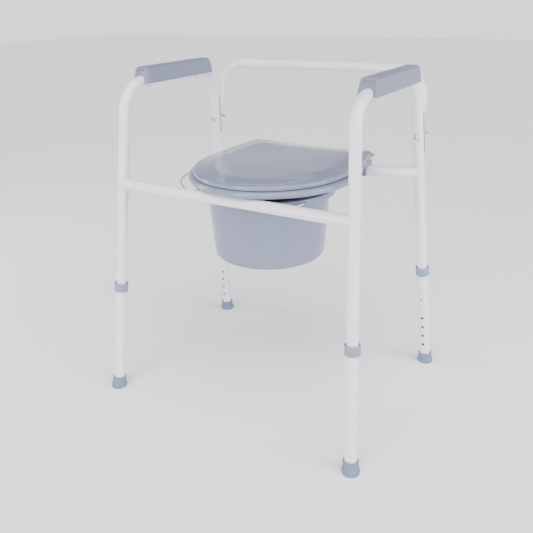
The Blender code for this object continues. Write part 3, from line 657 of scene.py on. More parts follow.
def leg_tree():
    """A straight tube with a row of round holes in one side."""
    tree, given = new_tree(
        "perforated_leg",
        [
            ("Radius", "NodeSocketFloat", 0.0127),
            ("Wall", "NodeSocketFloat", 0.0012),
            ("Foot", "NodeSocketFloat", 0.007),
            ("Top", "NodeSocketFloat", 0.261),
            ("Holes", "NodeSocketInt", 7),
            ("Pitch", "NodeSocketFloat", 0.025),
            ("First hole", "NodeSocketFloat", 0.2052),
            ("Hole radius", "NodeSocketFloat", 0.0035),
            ("Material", "NodeSocketMaterial", None),
        ],
    )

    def moved(geometry, **parts):
        spot = add_node(tree, "ShaderNodeCombineXYZ", links=parts)
        return add_node(
            tree, "GeometryNodeTransform", links={"Geometry": geometry, "Translation": spot.outputs[0]}
        )

    span = number(tree, "SUBTRACT", given["Top"], given["Foot"])
    middle = number(tree, "MULTIPLY", number(tree, "ADD", given["Top"], given["Foot"]), 0.5)
    solids = []
    for radius, depth in (
        (given["Radius"], span),
        (number(tree, "SUBTRACT", given["Radius"], given["Wall"]), number(tree, "ADD", span, 0.02)),
    ):
        solid = add_node(
            tree,
            "GeometryNodeMeshCylinder",
            inputs={"Vertices": 64},
            links={"Radius": radius, "Depth": depth},
        )
        solids.append(moved(solid.outputs["Mesh"], Z=middle).outputs[0])
    cutter = add_node(
        tree,
        "GeometryNodeMeshCylinder",
        inputs={"Vertices": 28, "Depth": 0.010},
        links={"Radius": given["Hole radius"]},
    )
    laid = add_node(
        tree,
        "GeometryNodeTransform",
        inputs={"Rotation": (math.pi / 2, 0, 0)},
        links={"Geometry": cutter.outputs["Mesh"]},
    )
    step = add_node(tree, "ShaderNodeCombineXYZ", links={"Z": number(tree, "MULTIPLY", given["Pitch"], -1.0)})
    start = add_node(
        tree,
        "ShaderNodeCombineXYZ",
        links={"Y": number(tree, "MULTIPLY", given["Radius"], -1.0), "Z": given["First hole"]},
    )
    row = add_node(
        tree,
        "GeometryNodeMeshLine",
        links={"Count": given["Holes"], "Start Location": start.outputs[0], "Offset": step.outputs[0]},
    )
    holes = add_node(
        tree, "GeometryNodeInstanceOnPoints", links={"Points": row.outputs[0], "Instance": laid.outputs[0]}
    )
    real = add_node(tree, "GeometryNodeRealizeInstances", links={"Geometry": holes.outputs[0]})
    cut = add_node(tree, "GeometryNodeMeshBoolean", settings={"operation": "DIFFERENCE", "solver": "EXACT"})
    tree.links.new(solids[0], cut.inputs["Mesh 1"])
    tree.links.new(solids[1], cut.inputs["Mesh 2"])
    tree.links.new(real.outputs[0], cut.inputs["Mesh 2"])
    return close_tree(tree, cut.outputs[0], given["Material"])


def copies_tree():
    """One small shape set on each of a few points."""
    tree, given = new_tree(
        "fixings_on_points",
        [("Shape", "NodeSocketObject", None), ("Material", "NodeSocketMaterial", None)],
    )
    shape = add_node(tree, "GeometryNodeObjectInfo", links={"Object": given["Shape"]})
    spread = add_node(
        tree,
        "GeometryNodeInstanceOnPoints",
        links={"Points": given["Geometry"], "Instance": shape.outputs["Geometry"]},
    )
    return close_tree(tree, spread.outputs[0], given["Material"])


TREES = {}


def grown(name, maker, source, **inputs):
    """Runs a node tree on a mesh and keeps the result as a plain mesh object."""
    if maker not in TREES:
        TREES[maker] = maker()
    tree = TREES[maker]
    thing = new_object(name, source)
    step = thing.modifiers.new("nodes", "NODES")
    step.node_group = tree
    for item in tree.interface.items_tree:
        key = item.name.lower().replace(" ", "_")
        if item.in_out == "INPUT" and key in inputs:
            step[item.identifier] = inputs[key]
    return evaluated(thing)


def tube(name, points, radius, finish_name, sides=TUBE_SIDES):
    line = path_mesh(name, points)
    return grown(name, tube_tree, line, radius=radius, sides=sides, material=material(finish_name))


def joined(name, things):
    """Several mesh objects made one."""
    bm = bmesh.new()
    for thing in things:
        bm.from_mesh(thing.data)
        bpy.data.objects.remove(thing)
    mesh = bpy.data.meshes.new(name)
    bm.to_mesh(mesh)
    bm.free()
    return new_object(name, mesh)


# ------------------------------------------------------------------ places


def leg_place(side, end):
    """A leg's own frame: Z up along it from the floor, Y away from the chair's middle."""
    key = end + "_" + side
    up = -Vector(JOINTS["leg_" + key + "_height"]["axis"]).normalized()
    out = Vector((0, ENDS[end], 0))
    out = (out - up * out.dot(up)).normalized()
    turn = Matrix((out.cross(up), out, up)).transposed().to_4x4()
    return Matrix.Translation(FEET[key]) @ turn


def leg_point(side, end, height):
    """The point of a leg's axis at a height above the floor."""
    place = leg_place(side, end)
    up = place.col[2].to_3d()
    return place.translation + up * (height / up.z)


def along_leg(side, end, distance):
    return leg_place(side, end) @ Vector((0, 0, distance))


def facing_in(distance_up):
    """Turns Z of a leg's frame to point at the chair's middle."""
    return Matrix.Translation((0, 0, distance_up)) @ Matrix.Rotation(math.pi / 2, 4, "X")


def facing_out(distance_up):
    return Matrix.Translation((0, 0, distance_up)) @ Matrix.Rotation(-math.pi / 2, 4, "X")


def rail_path(side):
    corners = [
        along_leg(side, "front", UPPER_TUBE_END),
        leg_point(side, "front", sizes().rail_height),
        leg_point(side, "rear", sizes().rail_height),
        along_leg(side, "rear", UPPER_TUBE_END),
    ]
    return rounded_path(corners, sizes().bend_radius, BEND_STEPS)


def bar_height(node):
    low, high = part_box(node)
    return (low.z + high.z) / 2


# ------------------------------------------------------------------ frame


def weld(name, start, inwards, leg_axis, bar_radius):
    """The closed seam where a bar meets a leg tube, with a rippled bead laid on it."""
    count = 60
    across = inwards.cross(leg_axis).normalized()
    upright = across.cross(inwards).normalized()
    seam = []
    for i in range(count):
        angle = 2 * math.pi * i / count
        rim = start + (across * math.cos(angle) + upright * math.sin(angle)) * bar_radius
        # Walk along the bar until the point lies on the leg's surface.
        low, high = 0.0, 0.03
        for _ in range(30):
            reach = (low + high) / 2
            point = rim + inwards * reach
            away = point - start
            away -= leg_axis * away.dot(leg_axis)
            if away.length < sizes().tube_radius:
                low = reach
            else:
                high = reach
        seam.append(rim + inwards * high)
    return grown(
        name,
        bead_tree,
        path_mesh(name, seam, closed=True),
        radius=sizes().bead_radius,
        ripple=0.12,
        points_per_ripple=4.0,
        material=material("powder_coat"),
    )


def rear_bar_path():
    """Straight in the middle, curving back to the legs in one arc."""
    height = HINGE.z
    tip = leg_point("right", "rear", height)
    run = tip.x - REAR_BAR_STRAIGHT
    rise = tip.y - HINGE.y
    radius = (run * run + rise * rise) / (2 * rise)
    half = []
    for i in range(BEND_STEPS + 1):
        beyond = run * i / BEND_STEPS
        y = HINGE.y + radius - math.sqrt(radius * radius - beyond * beyond)
        half.append(Vector((REAR_BAR_STRAIGHT + beyond, y, height)))
    return [Vector((-p.x, p.y, p.z)) for p in reversed(half)] + half


def crossbar(name, path, end, node):
    """A bar between two legs with a weld bead at each end."""
    parts = [tube(name, path, sizes().tube_radius, "powder_coat")]
    for side, tip, inner in (("left", path[0], path[1]), ("right", path[-1], path[-2])):
        axis = leg_place(side, end).col[2].to_3d()
        parts.append(weld(name + "_weld", tip, (inner - tip).normalized(), axis, sizes().tube_radius))
    finish_piece(joined(name, parts), "powder_coat", "white_powder_coat", "frame", node)


def frame_tubes():
    for side in SIDES:
        name = "side_tube_" + side
        piece = tube(name, rail_path(side), sizes().tube_radius, "powder_coat")
        finish_piece(piece, "powder_coat", "white_powder_coat", "frame", "side_frame_" + side)
    height = bar_height("front_crossbar")
    ends = [leg_point("left", "front", height), leg_point("right", "front", height)]
    crossbar("front_bar", ends, "front", "front_crossbar")
    crossbar("rear_bar", rear_bar_path(), "rear", "rear_crossbar")


def pail_rests():
    """Thin arms from the crossbars to under the pail's rim, rounded at their tips."""
    front_y = leg_point("left", "front", bar_height("front_crossbar")).y + sizes().tube_radius
    roots = {"front": front_y - 0.0025, "rear": HINGE.y - sizes().tube_radius + 0.0040}
    for side, way in SIDES.items():
        for end in ENDS:
            root = Vector((way * REST_X, roots[end], REST_ROOT[end]))
            tip = Vector((way * REST_X, REST_TIP_Y[end], REST_TIP_Z))
            run = (tip - root).normalized()
            name = "rim_support_" + end + "_" + side
            turn = run.to_track_quat("Z", "Y").to_matrix().to_4x4()
            reach = (tip - root).length
            rod_outline = [(0, 0, 0), (REST_R * 1.5, 0, 0), (REST_R, 0.003, 0.002)]
            rod_outline += [(REST_R, reach, 0.0015), (0, reach, 0)]
            outline = rounded_outline(rod_outline)
            piece = lathe(name, outline, 28, place=Matrix.Translation(root) @ turn)
            node = "pail_rest_" + end + "_" + side
            finish_piece(piece, "powder_coat", "white_powder_coat", "frame", node)


# ------------------------------------------------------------------ back bar


def tab_section(distance, corners):
    """The flattened end of the back bar: a crescent round the back of the right rear leg."""
    place = leg_place("right", "rear")
    middle = (TAB_OUTER_R + TAB_INNER_R) / 2
    half = (TAB_OUTER_R - TAB_INNER_R) / 2
    sign = 1 if place.col[0].x > 0 else -1
    loop = []
    for i in range(corners):
        angle = 2 * math.pi * i / corners
        turn = 1 - 2 * angle / math.pi if angle <= math.pi else 2 * (angle - math.pi) / math.pi - 1
        radius = middle + half * math.tanh(3 * math.sin(angle)) / math.tanh(3)
        bend = TAB_HALF_ANGLE * turn
        loop.append(place @ Vector((sign * radius * math.sin(bend), radius * math.cos(bend), distance)))
    return loop


def round_section(centre, lateral, rearward, corners):
    radius = sizes().tube_radius
    loop = []
    for i in range(corners):
        angle = 2 * math.pi * i / corners
        loop.append(centre + lateral * radius * math.cos(angle) + rearward * radius * math.sin(angle))
    return loop


def back_bar():
    """One tube over the back, flattened where it is bolted behind the rear legs."""
    corners = 48
    lean = Vector((0, BACK_TOP.y - BACK_ROUND.y, BACK_TOP.z - BACK_ROUND.z)).normalized()
    rearward = Vector((0, lean.z, -lean.y))
    bend = BACK_ROUND.x - BACK_TOP.x
    up = leg_place("right", "rear").col[2].to_3d()
    flat = tab_section(BACK_TAB_TOP, corners)
    start = round_section(BACK_ROUND, Vector((1, 0, 0)), rearward, corners)
    half = []
    for inset, shrink in ((0.0, 0.86), (0.0005, 0.96), (0.0018, 1.0)):
        loop = tab_section(BACK_TAB_FOOT + inset, corners)
        middle = sum(loop, Vector()) / corners
        half.append([middle.lerp(p, shrink) for p in loop])
    half.append(flat)
    pull = (BACK_ROUND - sum(flat, Vector()) / corners).length
    for i in range(1, 16):
        t = i / 16
        blend = []
        for one, two in zip(flat, start):
            spot = one * (2 * t**3 - 3 * t**2 + 1) + two * (3 * t**2 - 2 * t**3)
            spot += up * pull * (t**3 - 2 * t**2 + t) + lean * pull * (t**3 - t**2)
            blend.append(spot)
        half.append(blend)
    middle = BACK_ROUND - Vector((bend, 0, 0))
    for i in range(BEND_STEPS + 1):
        angle = math.pi / 2 * i / BEND_STEPS
        lateral = Vector((math.cos(angle), 0, 0)) + lean * math.sin(angle)
        half.append(round_section(middle + lateral * bend, lateral, rearward, corners))
    other = [[Vector((-p.x, p.y, p.z)) for p in loop] for loop in reversed(half)]
    piece = loft("back_bar_tube", half + other)
    finish_piece(piece, "powder_coat", "white_powder_coat", "frame", "back_bar")


def cut_cross(piece, radius, depth, place):
    """Cuts a cross recess into a screw head, one slot at a time."""
    for turn in (0, math.pi / 2):
        bm = bmesh.new()
        size = Matrix.Diagonal((radius * 1.3, radius * 0.28, depth, 1))
        spot = place @ Matrix.Rotation(turn, 4, "Z") @ size
        bmesh.ops.create_cube(bm, size=1, matrix=spot)
        combine(piece, new_object("recess", from_bmesh("recess", bm)))


def back_bolts():
    """Dome-headed bolts with a rolled thread, heads to the front."""
    for side in SIDES:
        place = leg_place(side, "rear") @ facing_in(BACK_BOLT_UP)
        head = [(0, 0.0147, 0), (0.0042, 0.0141, 0.002), (0.0058, 0.0124, 0.0008)]
        head += [(0.0058, 0.0115, 0.0002), (0.0030, 0.0115, 0)]
        pitch, crest, root, thread_start, tip = 0.0010, 0.0030, 0.0026, -0.0150, -0.0256
        points = rounded_outline(head + [(crest, thread_start, 0)])
        for i in range(10):
            low = thread_start - i * pitch
            points += [Vector((root, low - pitch / 2)), Vector((crest, low - pitch))]
        points += [Vector((0.0022, tip)), Vector((0, tip))]
        name = "dome_bolt_" + side
        piece = lathe(name, points, 48, place=place)
        cut_cross(piece, 0.0040, 0.0030, place @ Matrix.Translation((0, 0, 0.0145)))
        finish_piece(piece, "plate", "chrome", "frame", "back_bolt_" + side)


def wing_nuts():
    """A turned hub with two upswept rounded wings."""
    seat = TAB_OUTER_R + SMALL_GAP
    hub = [
        (0.0033, seat, 0),
        (0.0068, seat, 0.0003),
        (0.0068, seat + 0.0014, 0.0005),
        (0.0056, seat + 0.0045, 0.002),
        (0.0049, seat + 0.0085, 0.0005),
        (0.0033, seat + 0.0085, 0.0002),
    ]
    for side in SIDES:
        piece = lathe("wing_nut_hub_" + side, rounded_outline(hub, closed=True), 48, closed=True)
        for way in (-1, 1):
            bm = bmesh.new()
            bmesh.ops.create_icosphere(bm, subdivisions=4, radius=1)
            for vert in bm.verts:
                x, y, z = vert.co
                swell = 1 - 0.35 * max(0.0, z)
                vert.co = (0.0046 * math.copysign(abs(x) ** 0.8, x), 0.0012 * y * swell, 0.0052 * z)
            spot = Matrix.Translation((way * 0.0084, 0, seat + 0.0080)) @ Matrix.Rotation(way * 0.62, 4, "Y")
            bmesh.ops.transform(bm, matrix=spot, verts=bm.verts)
            combine(piece, new_object("wing", from_bmesh("wing", bm)), "UNION")
        piece.data.transform(leg_place(side, "rear") @ facing_out(BACK_BOLT_UP))
        piece.name = "wing_nut_piece_" + side
        finish_piece(piece, "brass", "brass", "wing_nut_" + side, "wing_nut_" + side)


# ------------------------------------------------------------------ armrests


def pad_section(half_width, foot, top, corner, steps=8):
    """Half of the pad's end view, then mirrored: wide foot, leaning sides, rounded shoulders."""
    lean = 0.0045
    outline = [
        (half_width - 0.0030, foot, 0),
        (half_width, foot, 0.0016),
        (half_width - lean, top - 0.0004, corner),
        (0, top, 0),
    ]
    half = rounded_outline(outline, steps=steps)
    return half + [Vector((-p.x, p.y)) for p in reversed(half[:-1])]


def armrest_pads():
    """Moulded pads that sit over the rails, cut out round the tube at both ends."""
    rail = sizes().rail_height
    channel_r = sizes().tube_radius + 0.0005
    middle_x = (PAD_LOW.x + PAD_HIGH.x) / 2
    half_width = (PAD_HIGH.x - PAD_LOW.x) / 2
    foot, top = PAD_LOW.z, PAD_HIGH.z
    end_lean = 0.0100  # the ends lean back by this much between foot and top
    end_round = 0.0110
    for side, way in SIDES.items():
        loops = []
        steps = 12
        stations = []
        for i in range(steps + 1):
            angle = math.pi / 2 * i / steps
            stations.append((end_round * (1 - math.cos(angle)), math.sin(angle)))
        rows = [(PAD_LOW.y + run, fill) for run, fill in stations]
        rows += [(PAD_HIGH.y - run, fill) for run, fill in reversed(stations)]
        section = pad_section(half_width, foot, top, sizes().pad_corner)
        for index, (y, fill) in enumerate(rows):
            towards = 1 if index < len(rows) / 2 else -1
            pinch = 1 - 0.30 * (1 - fill)
            drop = 0.0065 * (1 - fill)
            loop = []
            for x, z in section:
                height = (z - foot) / (top - foot)
                lean = towards * end_lean * height * (1 - abs(fill) * 0.75)
                loop.append(Vector((way * middle_x + x * pinch, y + lean, z - drop * height)))
            loops.append(loop)
        piece = loft("armrest_moulding_" + side, loops)
        channel = tube("channel", rail_path(side), channel_r, "pad_plastic", 48)
        combine(piece, channel)
        ends = (PAD_LOW.y - 0.02, PAD_HIGH.y + 0.02)
        hollow = [(ends[0], foot - 0.01), (ends[1], foot - 0.01), (ends[1], rail), (ends[0], rail)]
        combine(piece, prism("mouth", hollow, way * middle_x - channel_r, way * middle_x + channel_r))
        node = "armrest_pad_" + side
        finish_piece(piece, "pad_plastic", "pad_plastic", "frame", node, sharp=math.radians(40))


def armrest_screws():
    """Pan-head screws up through the rails, two under each pad."""
    head_top = -sizes().tube_radius - SMALL_GAP
    outline = [
        (0, head_top - 0.0026, 0),
        (0.0030, head_top - 0.0025, 0.0012),
        (0.0042, head_top - 0.0012, 0.0006),
        (0.0042, head_top, 0.0002),
        (0.0020, head_top, 0),
        (0.0020, 0.0195, 0.0005),
        (0, 0.0205, 0),
    ]
    shape = lathe("pan_head_screw", rounded_outline(outline), 32)
    cut_cross(shape, 0.0034, 0.0024, Matrix.Translation((0, 0, head_top - 0.0026)))
    points, nodes = [], []
    for side in SIDES:
        rail_x = leg_point(side, "rear", sizes().rail_height).x
        for end, y in zip(ENDS, PAD_SCREW_Y):
            points.append((rail_x, y, sizes().rail_height))
            nodes.append("armrest_screw_" + end + "_" + side)
    spots = bpy.data.meshes.new("screw_places")
    spots.from_pydata(points, [], [])
    piece = grown("pan_head_screws", copies_tree, spots, shape=shape, material=material("plate"))
    bpy.data.objects.remove(shape)
    finish_piece(piece, "plate", "chrome", "frame", *nodes)


# ------------------------------------------------------------------ legs


def lower_legs():
    """Perforated leg tubes, their collars and their rubber feet."""
    given = sizes()
    bore = given.leg_radius + SMALL_GAP
    top = LEG_TUBE_TOP + 0.0028
    near_tube = given.tube_radius + SMALL_GAP
    collar = [
        (0.0150, top, 0.0005),
        (0.0150, top - 0.0195, 0.0006),
        (0.0142, top - 0.0200, 0.0003),
        (bore, top - 0.0200, 0.0002),
        (bore, LEG_TUBE_TOP + SMALL_GAP, 0),
        (near_tube, LEG_TUBE_TOP + SMALL_GAP, 0),
        (near_tube, top - 0.0014, 0.0002),
        (0.0134, top - 0.0014, 0.0004),
        (0.0138, top, 0.0003),
    ]
    foot = [
        (0, LEG_TUBE_FOOT - SMALL_GAP, 0),
        (bore, LEG_TUBE_FOOT - SMALL_GAP, 0.0002),
        (bore, 0.0262, 0.0003),
        (0.0136, 0.0275, 0.0004),
        (0.0149, 0.0275, 0.0005),
        (0.0153, 0.0262, 0.0006),
        (0.0156, 0.0120, 0.0030),
        (0.0176, 0.0076, 0.0020),
        (0.0180, 0.0040, 0.0012),
        (0.0176, 0.0010, 0.0008),
        (0.0170, -0.0040, 0),
        (0, -0.0040, 0),
    ]
    for side in SIDES:
        for end in ENDS:
            key = end + "_" + side
            place = leg_place(side, end)
            leg = grown(
                "leg_tube_" + key,
                leg_tree,
                bpy.data.meshes.new("leg"),
                radius=given.leg_radius,
                wall=given.wall,
                foot=LEG_TUBE_FOOT,
                top=LEG_TUBE_TOP,
                holes=given.hole_count,
                pitch=given.hole_pitch,
                first_hole=HOLE_FIRST,
                hole_radius=given.hole_radius,
                material=material("powder_coat"),
            )
            leg.data.transform(place)
            finish_piece(leg, "powder_coat", "white_powder_coat", "leg_" + key, "lower_leg_" + key)
            ring = lathe("collar_" + key, rounded_outline(collar, closed=True), closed=True, place=place)
            finish_piece(ring, "collar_plastic", "collar_plastic", "leg_" + key, "leg_collar_" + key)
            tip = lathe("foot_tip_" + key, rounded_outline(foot), place=place)
            spot = place.translation
            combine(tip, rod("floor_block", spot - Vector((0, 0, 0.05)), spot, 0.05, 8))
            finish_piece(tip, "foot_rubber", "foot_rubber", "leg_" + key, "rubber_foot_" + key)


def snap_buttons():
    """Round-nosed brass buttons in the leg holes, and the leaf springs behind them."""
    outline = [
        (0, 0.0143, 0),
        (0.0022, 0.0140, 0.0012),
        (0.0032, 0.0128, 0.0012),
        (0.0032, 0.0092, 0.0002),
        (0, 0.0092, 0),
    ]
    for side in SIDES:
        for end in ENDS:
            key = end + "_" + side
            place = leg_place(side, end) @ facing_in(BUTTON_UP)
            piece = lathe("button_cap_" + key, rounded_outline(outline), 40, place=place)
            finish_piece(piece, "brass", "brass", "button_" + key, "snap_button_" + key)
            strip = frame["nodes"]["button_spring_" + key]
            strip.data.materials.clear()
            strip.data.materials.append(material("spring"))


# ------------------------------------------------------------------ seat and lid


def oval(half_width, front_y, rear_y, rear_half, corner_r):
    """A round front and a straight rear, from the front middle round by +X."""
    half = []
    steps = 48
    for i in range(steps):
        angle = math.pi / 2 * i / steps
        depth = front_y - OVAL_CENTRE_Y
        half.append(Vector((half_width * math.sin(angle), OVAL_CENTRE_Y + depth * math.cos(angle))))
    last = rear_y - corner_r
    for i in range(20):
        t = i / 20
        x = half_width - (half_width - rear_half) * t**1.7
        half.append(Vector((x, OVAL_CENTRE_Y + (last - OVAL_CENTRE_Y) * t)))
    for i in range(13):
        angle = math.pi / 2 * i / 12
        x = rear_half - corner_r + corner_r * math.cos(angle)
        half.append(Vector((x, last + corner_r * math.sin(angle))))
    for i in range(1, 12):
        half.append(Vector(((rear_half - corner_r) * (1 - i / 12), rear_y)))
    whole = half + [Vector((0, rear_y))] + [Vector((-p.x, p.y)) for p in reversed(half[1:])]
    return [p + Vector((SEAT_X, 0)) for p in whole]


def bored_clips(piece, near, far, outline):
    """Joins a clip on at each side and bores it for the bar."""
    for way in SIDES.values():
        low, high = sorted((SEAT_X + way * near, SEAT_X + way * far))
        combine(piece, prism("clip", outline, low, high), "UNION")
    bar = rod("bar", (-0.2, HINGE.y, HINGE.z), (0.2, HINGE.y, HINGE.z), sizes().tube_radius + 0.00035, 48)
    combine(piece, bar)


def seat_ring():
    """A rolled ring with an oval opening and a clip at each rear corner."""
    half_width = (RING_HIGH.x - RING_LOW.x) / 2
    outline = oval(half_width, RING_LOW.y, RING_REAR_Y, RING_REAR_HALF, 0.014)
    centre = Vector((SEAT_X, OPENING_Y))
    outer_mid, outer_half = (RING_TOP + RING_BOTTOM) / 2, (RING_TOP - RING_BOTTOM) / 2
    loops = []
    for edge in outline:
        angle = math.atan2(edge.y - centre.y, edge.x - centre.x)
        inner = centre + Vector((OPENING_HALF_X * math.cos(angle), OPENING_HALF_Y * math.sin(angle)))
        inwards = (inner - edge).normalized()
        loop = []
        steps = 12
        for i in range(steps + 1):
            a = math.pi * (i / steps - 0.5)
            spot = edge + inwards * 0.0065 * (1 - math.cos(a))
            loop.append(Vector((*spot, outer_mid + outer_half * math.sin(a))))
        crest = edge + inwards * 0.0120
        loop.append(Vector((*crest, RING_TOP)))
        for i in range(steps + 1):
            a = math.pi * (0.5 - i / steps)
            spot = inner - inwards * 0.0050 * (1 - math.cos(a))
            loop.append(Vector((*spot, RING_BOTTOM + 0.0045 + 0.0045 * math.sin(a))))
        loops.append(loop)
    piece = loft("seat_moulding", loops, closed_along=True)
    clip = [(0.1120, 0.5085), (0.1575, 0.5085), (0.1575, 0.4835), (0.1325, 0.4835)]
    clip += [(0.1325, 0.4785), (0.1228, 0.4785), (0.1228, 0.4990), (0.1120, 0.4990)]
    bored_clips(piece, 0.1350, 0.1510, clip)
    finish_piece(piece, "gloss_plastic", "grey_gloss_plastic", "seat", "seat_ring")


def eased(t):
    t = max(0.0, min(1.0, t))
    return t * t * (3 - 2 * t)


def lid_top(x, y, inset):
    """Height of the lid's upper face: rolled edge, sloping border, then a flat dished middle."""
    given = sizes()
    roll = 0.0070
    border = given.lid_border
    if inset < roll:
        rise = 0.0042 + 0.0048 * math.sqrt(max(0.0, 1 - (1 - inset / roll) ** 2))
    else:
        t = (inset - roll) / (border - roll)
        rise = 0.0090 + (given.lid_rise - 0.0090) * (0.55 * min(t, 1.0) + 0.45 * eased(t))
    back = max(0.0, (y - 0.02) / 0.14)
    dish = 0.0050 * ((x - SEAT_X) / LID_REAR_HALF) ** 2 * back
    slope = 0.0016 * max(0.0, -(y + 0.05) / 0.13)
    flat = eased(inset / border)
    return LID_EDGE_Z + rise + dish * min(1.0, inset / 0.006) - slope * flat


def edge_lift(y):
    """The rim lifts towards the rear to pass over the bar."""
    return 0.0055 * max(0.0, (y - 0.06) / 0.10) ** 1.5


def seat_lid():
    """A thin shell with a rolled rim, a sloping border and two clips at the rear."""
    outline = oval(LID_HALF_WIDTH, LID_FRONT_Y, LID_REAR_Y, LID_REAR_HALF, 0.014)
    centre = Vector((SEAT_X, -0.012))
    reach = 0.171
    bm = bmesh.new()
    rows = []

    def add_row(inset, height_of):
        row = []
        for edge in outline:
            spot = centre + (edge - centre) * (1 - inset / reach)
            row.append(bm.verts.new((spot.x, spot.y, height_of(spot, edge))))
        rows.append(row)

    def foot_height(spot, edge, fraction):
        foot = LID_EDGE_Z + edge_lift(edge.y)
        return foot + (lid_top(spot.x, spot.y, 0.0) - foot) * fraction

    for fraction in (0.0, 0.35, 0.7):
        add_row(0.0, lambda spot, edge, f=fraction: foot_height(spot, edge, f))
    insets = [0.0070 * (1 - math.cos(math.pi / 2 * i / 8)) for i in range(9)]
    insets += [0.0070 + (sizes().lid_border - 0.0070) * i / 14 for i in range(1, 15)]
    insets += [sizes().lid_border + (0.160 - sizes().lid_border) * i / 16 for i in range(1, 17)]
    for inset in insets:
        add_row(inset, lambda spot, edge, u=inset: lid_top(spot.x, spot.y, u))
    count = len(outline)
    for one, two in zip(rows, rows[1:]):
        for i in range(count):
            j = (i + 1) % count
            bm.faces.new((one[i], one[j], two[j], two[i]))
    tip = bm.verts.new((centre.x, centre.y, lid_top(centre.x, centre.y, 0.17)))
    for i in range(count):
        bm.faces.new((rows[-1][i], rows[-1][(i + 1) % count], tip))
    bmesh.ops.recalc_face_normals(bm, faces=bm.faces)
    if bm.faces[-1].normal.z < 0:
        bmesh.ops.reverse_faces(bm, faces=bm.faces)
    mesh = bpy.data.meshes.new("lid_moulding")
    bm.to_mesh(mesh)
    bm.free()
    piece = new_object("lid_moulding", mesh)
    wall = piece.modifiers.new("wall", "SOLIDIFY")
    wall.thickness = LID_WALL
    wall.offset = -1
    evaluated(piece)
    clip = [(0.1265, 0.5242), (0.1555, 0.5242), (0.1555, 0.4835), (0.1325, 0.4835)]
    clip += [(0.1325, 0.4785), (0.1265, 0.4785)]
    bored_clips(piece, 0.0850, 0.1000, clip)
    finish_piece(piece, "gloss_plastic", "grey_gloss_plastic", "lid", "seat_lid")


# ------------------------------------------------------------------ pail and bail


def pail():
    """A tapered bucket with a turned-down rim, notched for the support arms."""
    top, foot = PAIL_HIGH.z, PAIL_LOW.z
    rim = (PAIL_HIGH.x - PAIL_LOW.x) / 2
    wall = PAIL_WALL

    def body_r(height):
        base = foot + 0.010
        return PAIL_BODY_FOOT_R + (PAIL_BODY_TOP_R - PAIL_BODY_FOOT_R) * (height - base) / (top - base)

    outline = [
        (0, foot + 0.0030, 0),
        (PAIL_BODY_FOOT_R - wall, foot + 0.0030, 0.0100),
        (body_r(top) - wall, top, 0.0025),
        (rim, top, 0.0022),
        (rim, PAIL_RIM_FOOT, 0.0005),
        (rim - 0.0022, PAIL_RIM_FOOT, 0.0005),
        (rim - 0.0022, top - wall, 0.0008),
        (body_r(top - wall), top - wall, 0.0015),
        (PAIL_BODY_FOOT_R - 0.0002, foot + 0.0005, 0.0120),
        (PAIL_BODY_FOOT_R - 0.0300, foot, 0.0005),
        (0, foot, 0),
    ]
    place = Matrix.Translation((0, PAIL_Y, 0))
    piece = lathe("pail_moulding", rounded_outline(outline, steps=8), PAIL_SIDES, place=place)
    for side in SIDES.values():
        for end in ENDS.values():
            turn = math.atan2(end * math.sin(NOTCH_ANGLE), side * math.cos(NOTCH_ANGLE))
            spot = place @ Matrix.Rotation(turn, 4, "Z")
            slot = [(-0.0075, 0.4570), (0.0075, 0.4570), (0.0075, 0.4758), (-0.0075, 0.4758)]
            cutter = prism("notch", slot, rim - 0.0070, rim + 0.0060, 0.0012)
            cutter.data.transform(spot)
            combine(piece, cutter)
    for way in (-1, 1):
        spot = Vector((0, PAIL_Y + way * rim, BAIL_Z))
        reach = Vector((0, 0.006, 0))
        combine(piece, rod("ear", spot - reach, spot + reach, 0.0024, 24))
    finish_piece(piece, "gloss_plastic", "grey_gloss_plastic", "pail", "pail")


def bail_point(reach, across):
    """A point of the bail by its distance to the ear axis and its place along it."""
    x = -reach * math.cos(BAIL_RISE)
    return Vector((x, PAIL_Y + across, BAIL_Z + reach * math.sin(BAIL_RISE)))


def bail_handle():
    """A wire loop hooked into the rim at front and rear."""
    rim = (PAIL_HIGH.x - PAIL_LOW.x) / 2
    steps = 72
    route = []
    for i in range(1, steps):
        angle = math.pi * i / steps
        across = -math.copysign(abs(math.cos(angle)) ** (2 / BAIL_POWER), math.cos(angle))
        out = math.sin(angle) ** (2 / BAIL_POWER)
        route.append(bail_point(BAIL_REACH * out, BAIL_HALF_WIDTH * across))
    ends = []
    for way in (-1, 1):
        hook = [bail_point(0, way * (rim - 0.0055)), bail_point(0, way * (BAIL_HALF_WIDTH - 0.0016))]
        hook.append(bail_point(0.0005, way * (BAIL_HALF_WIDTH - 0.0004)))
        hook.append(bail_point(0.0016, way * BAIL_HALF_WIDTH))
        ends.append(hook)
    near = [p for p in route if (p - ends[0][-1]).length > 0.003 and (p - ends[1][-1]).length > 0.003]
    piece = tube("bail_wire", ends[0] + near + ends[1][::-1], sizes().bail_radius, "wire", 20)
    finish_piece(piece, "wire", "bail_wire", "bail", "bail_handle")


# ------------------------------------------------------------------ stage


def area_light(name, place, target, width, height, power, colour=(1, 1, 1)):
    data = bpy.data.lights.new(name, "AREA")
    data.shape = "RECTANGLE"
    data.size = width
    data.size_y = height
    data.energy = power
    data.color = colour
    lamp = new_object(name, data)
    lamp.location = place
    lamp.rotation_euler = (Vector(target) - Vector(place)).to_track_quat("-Z", "Y").to_euler()


def floor_paint():
    """Matt white studio paint, with the faintest mottling."""
    made, tree, shader = new_material("matt_studio_white", "#F7F7F8", 0.9)
    where = place_nodes(tree)
    tinted(tree, shader, noise(tree, where, 3.0), "#F7F7F8", "#F4F4F6")
    return made


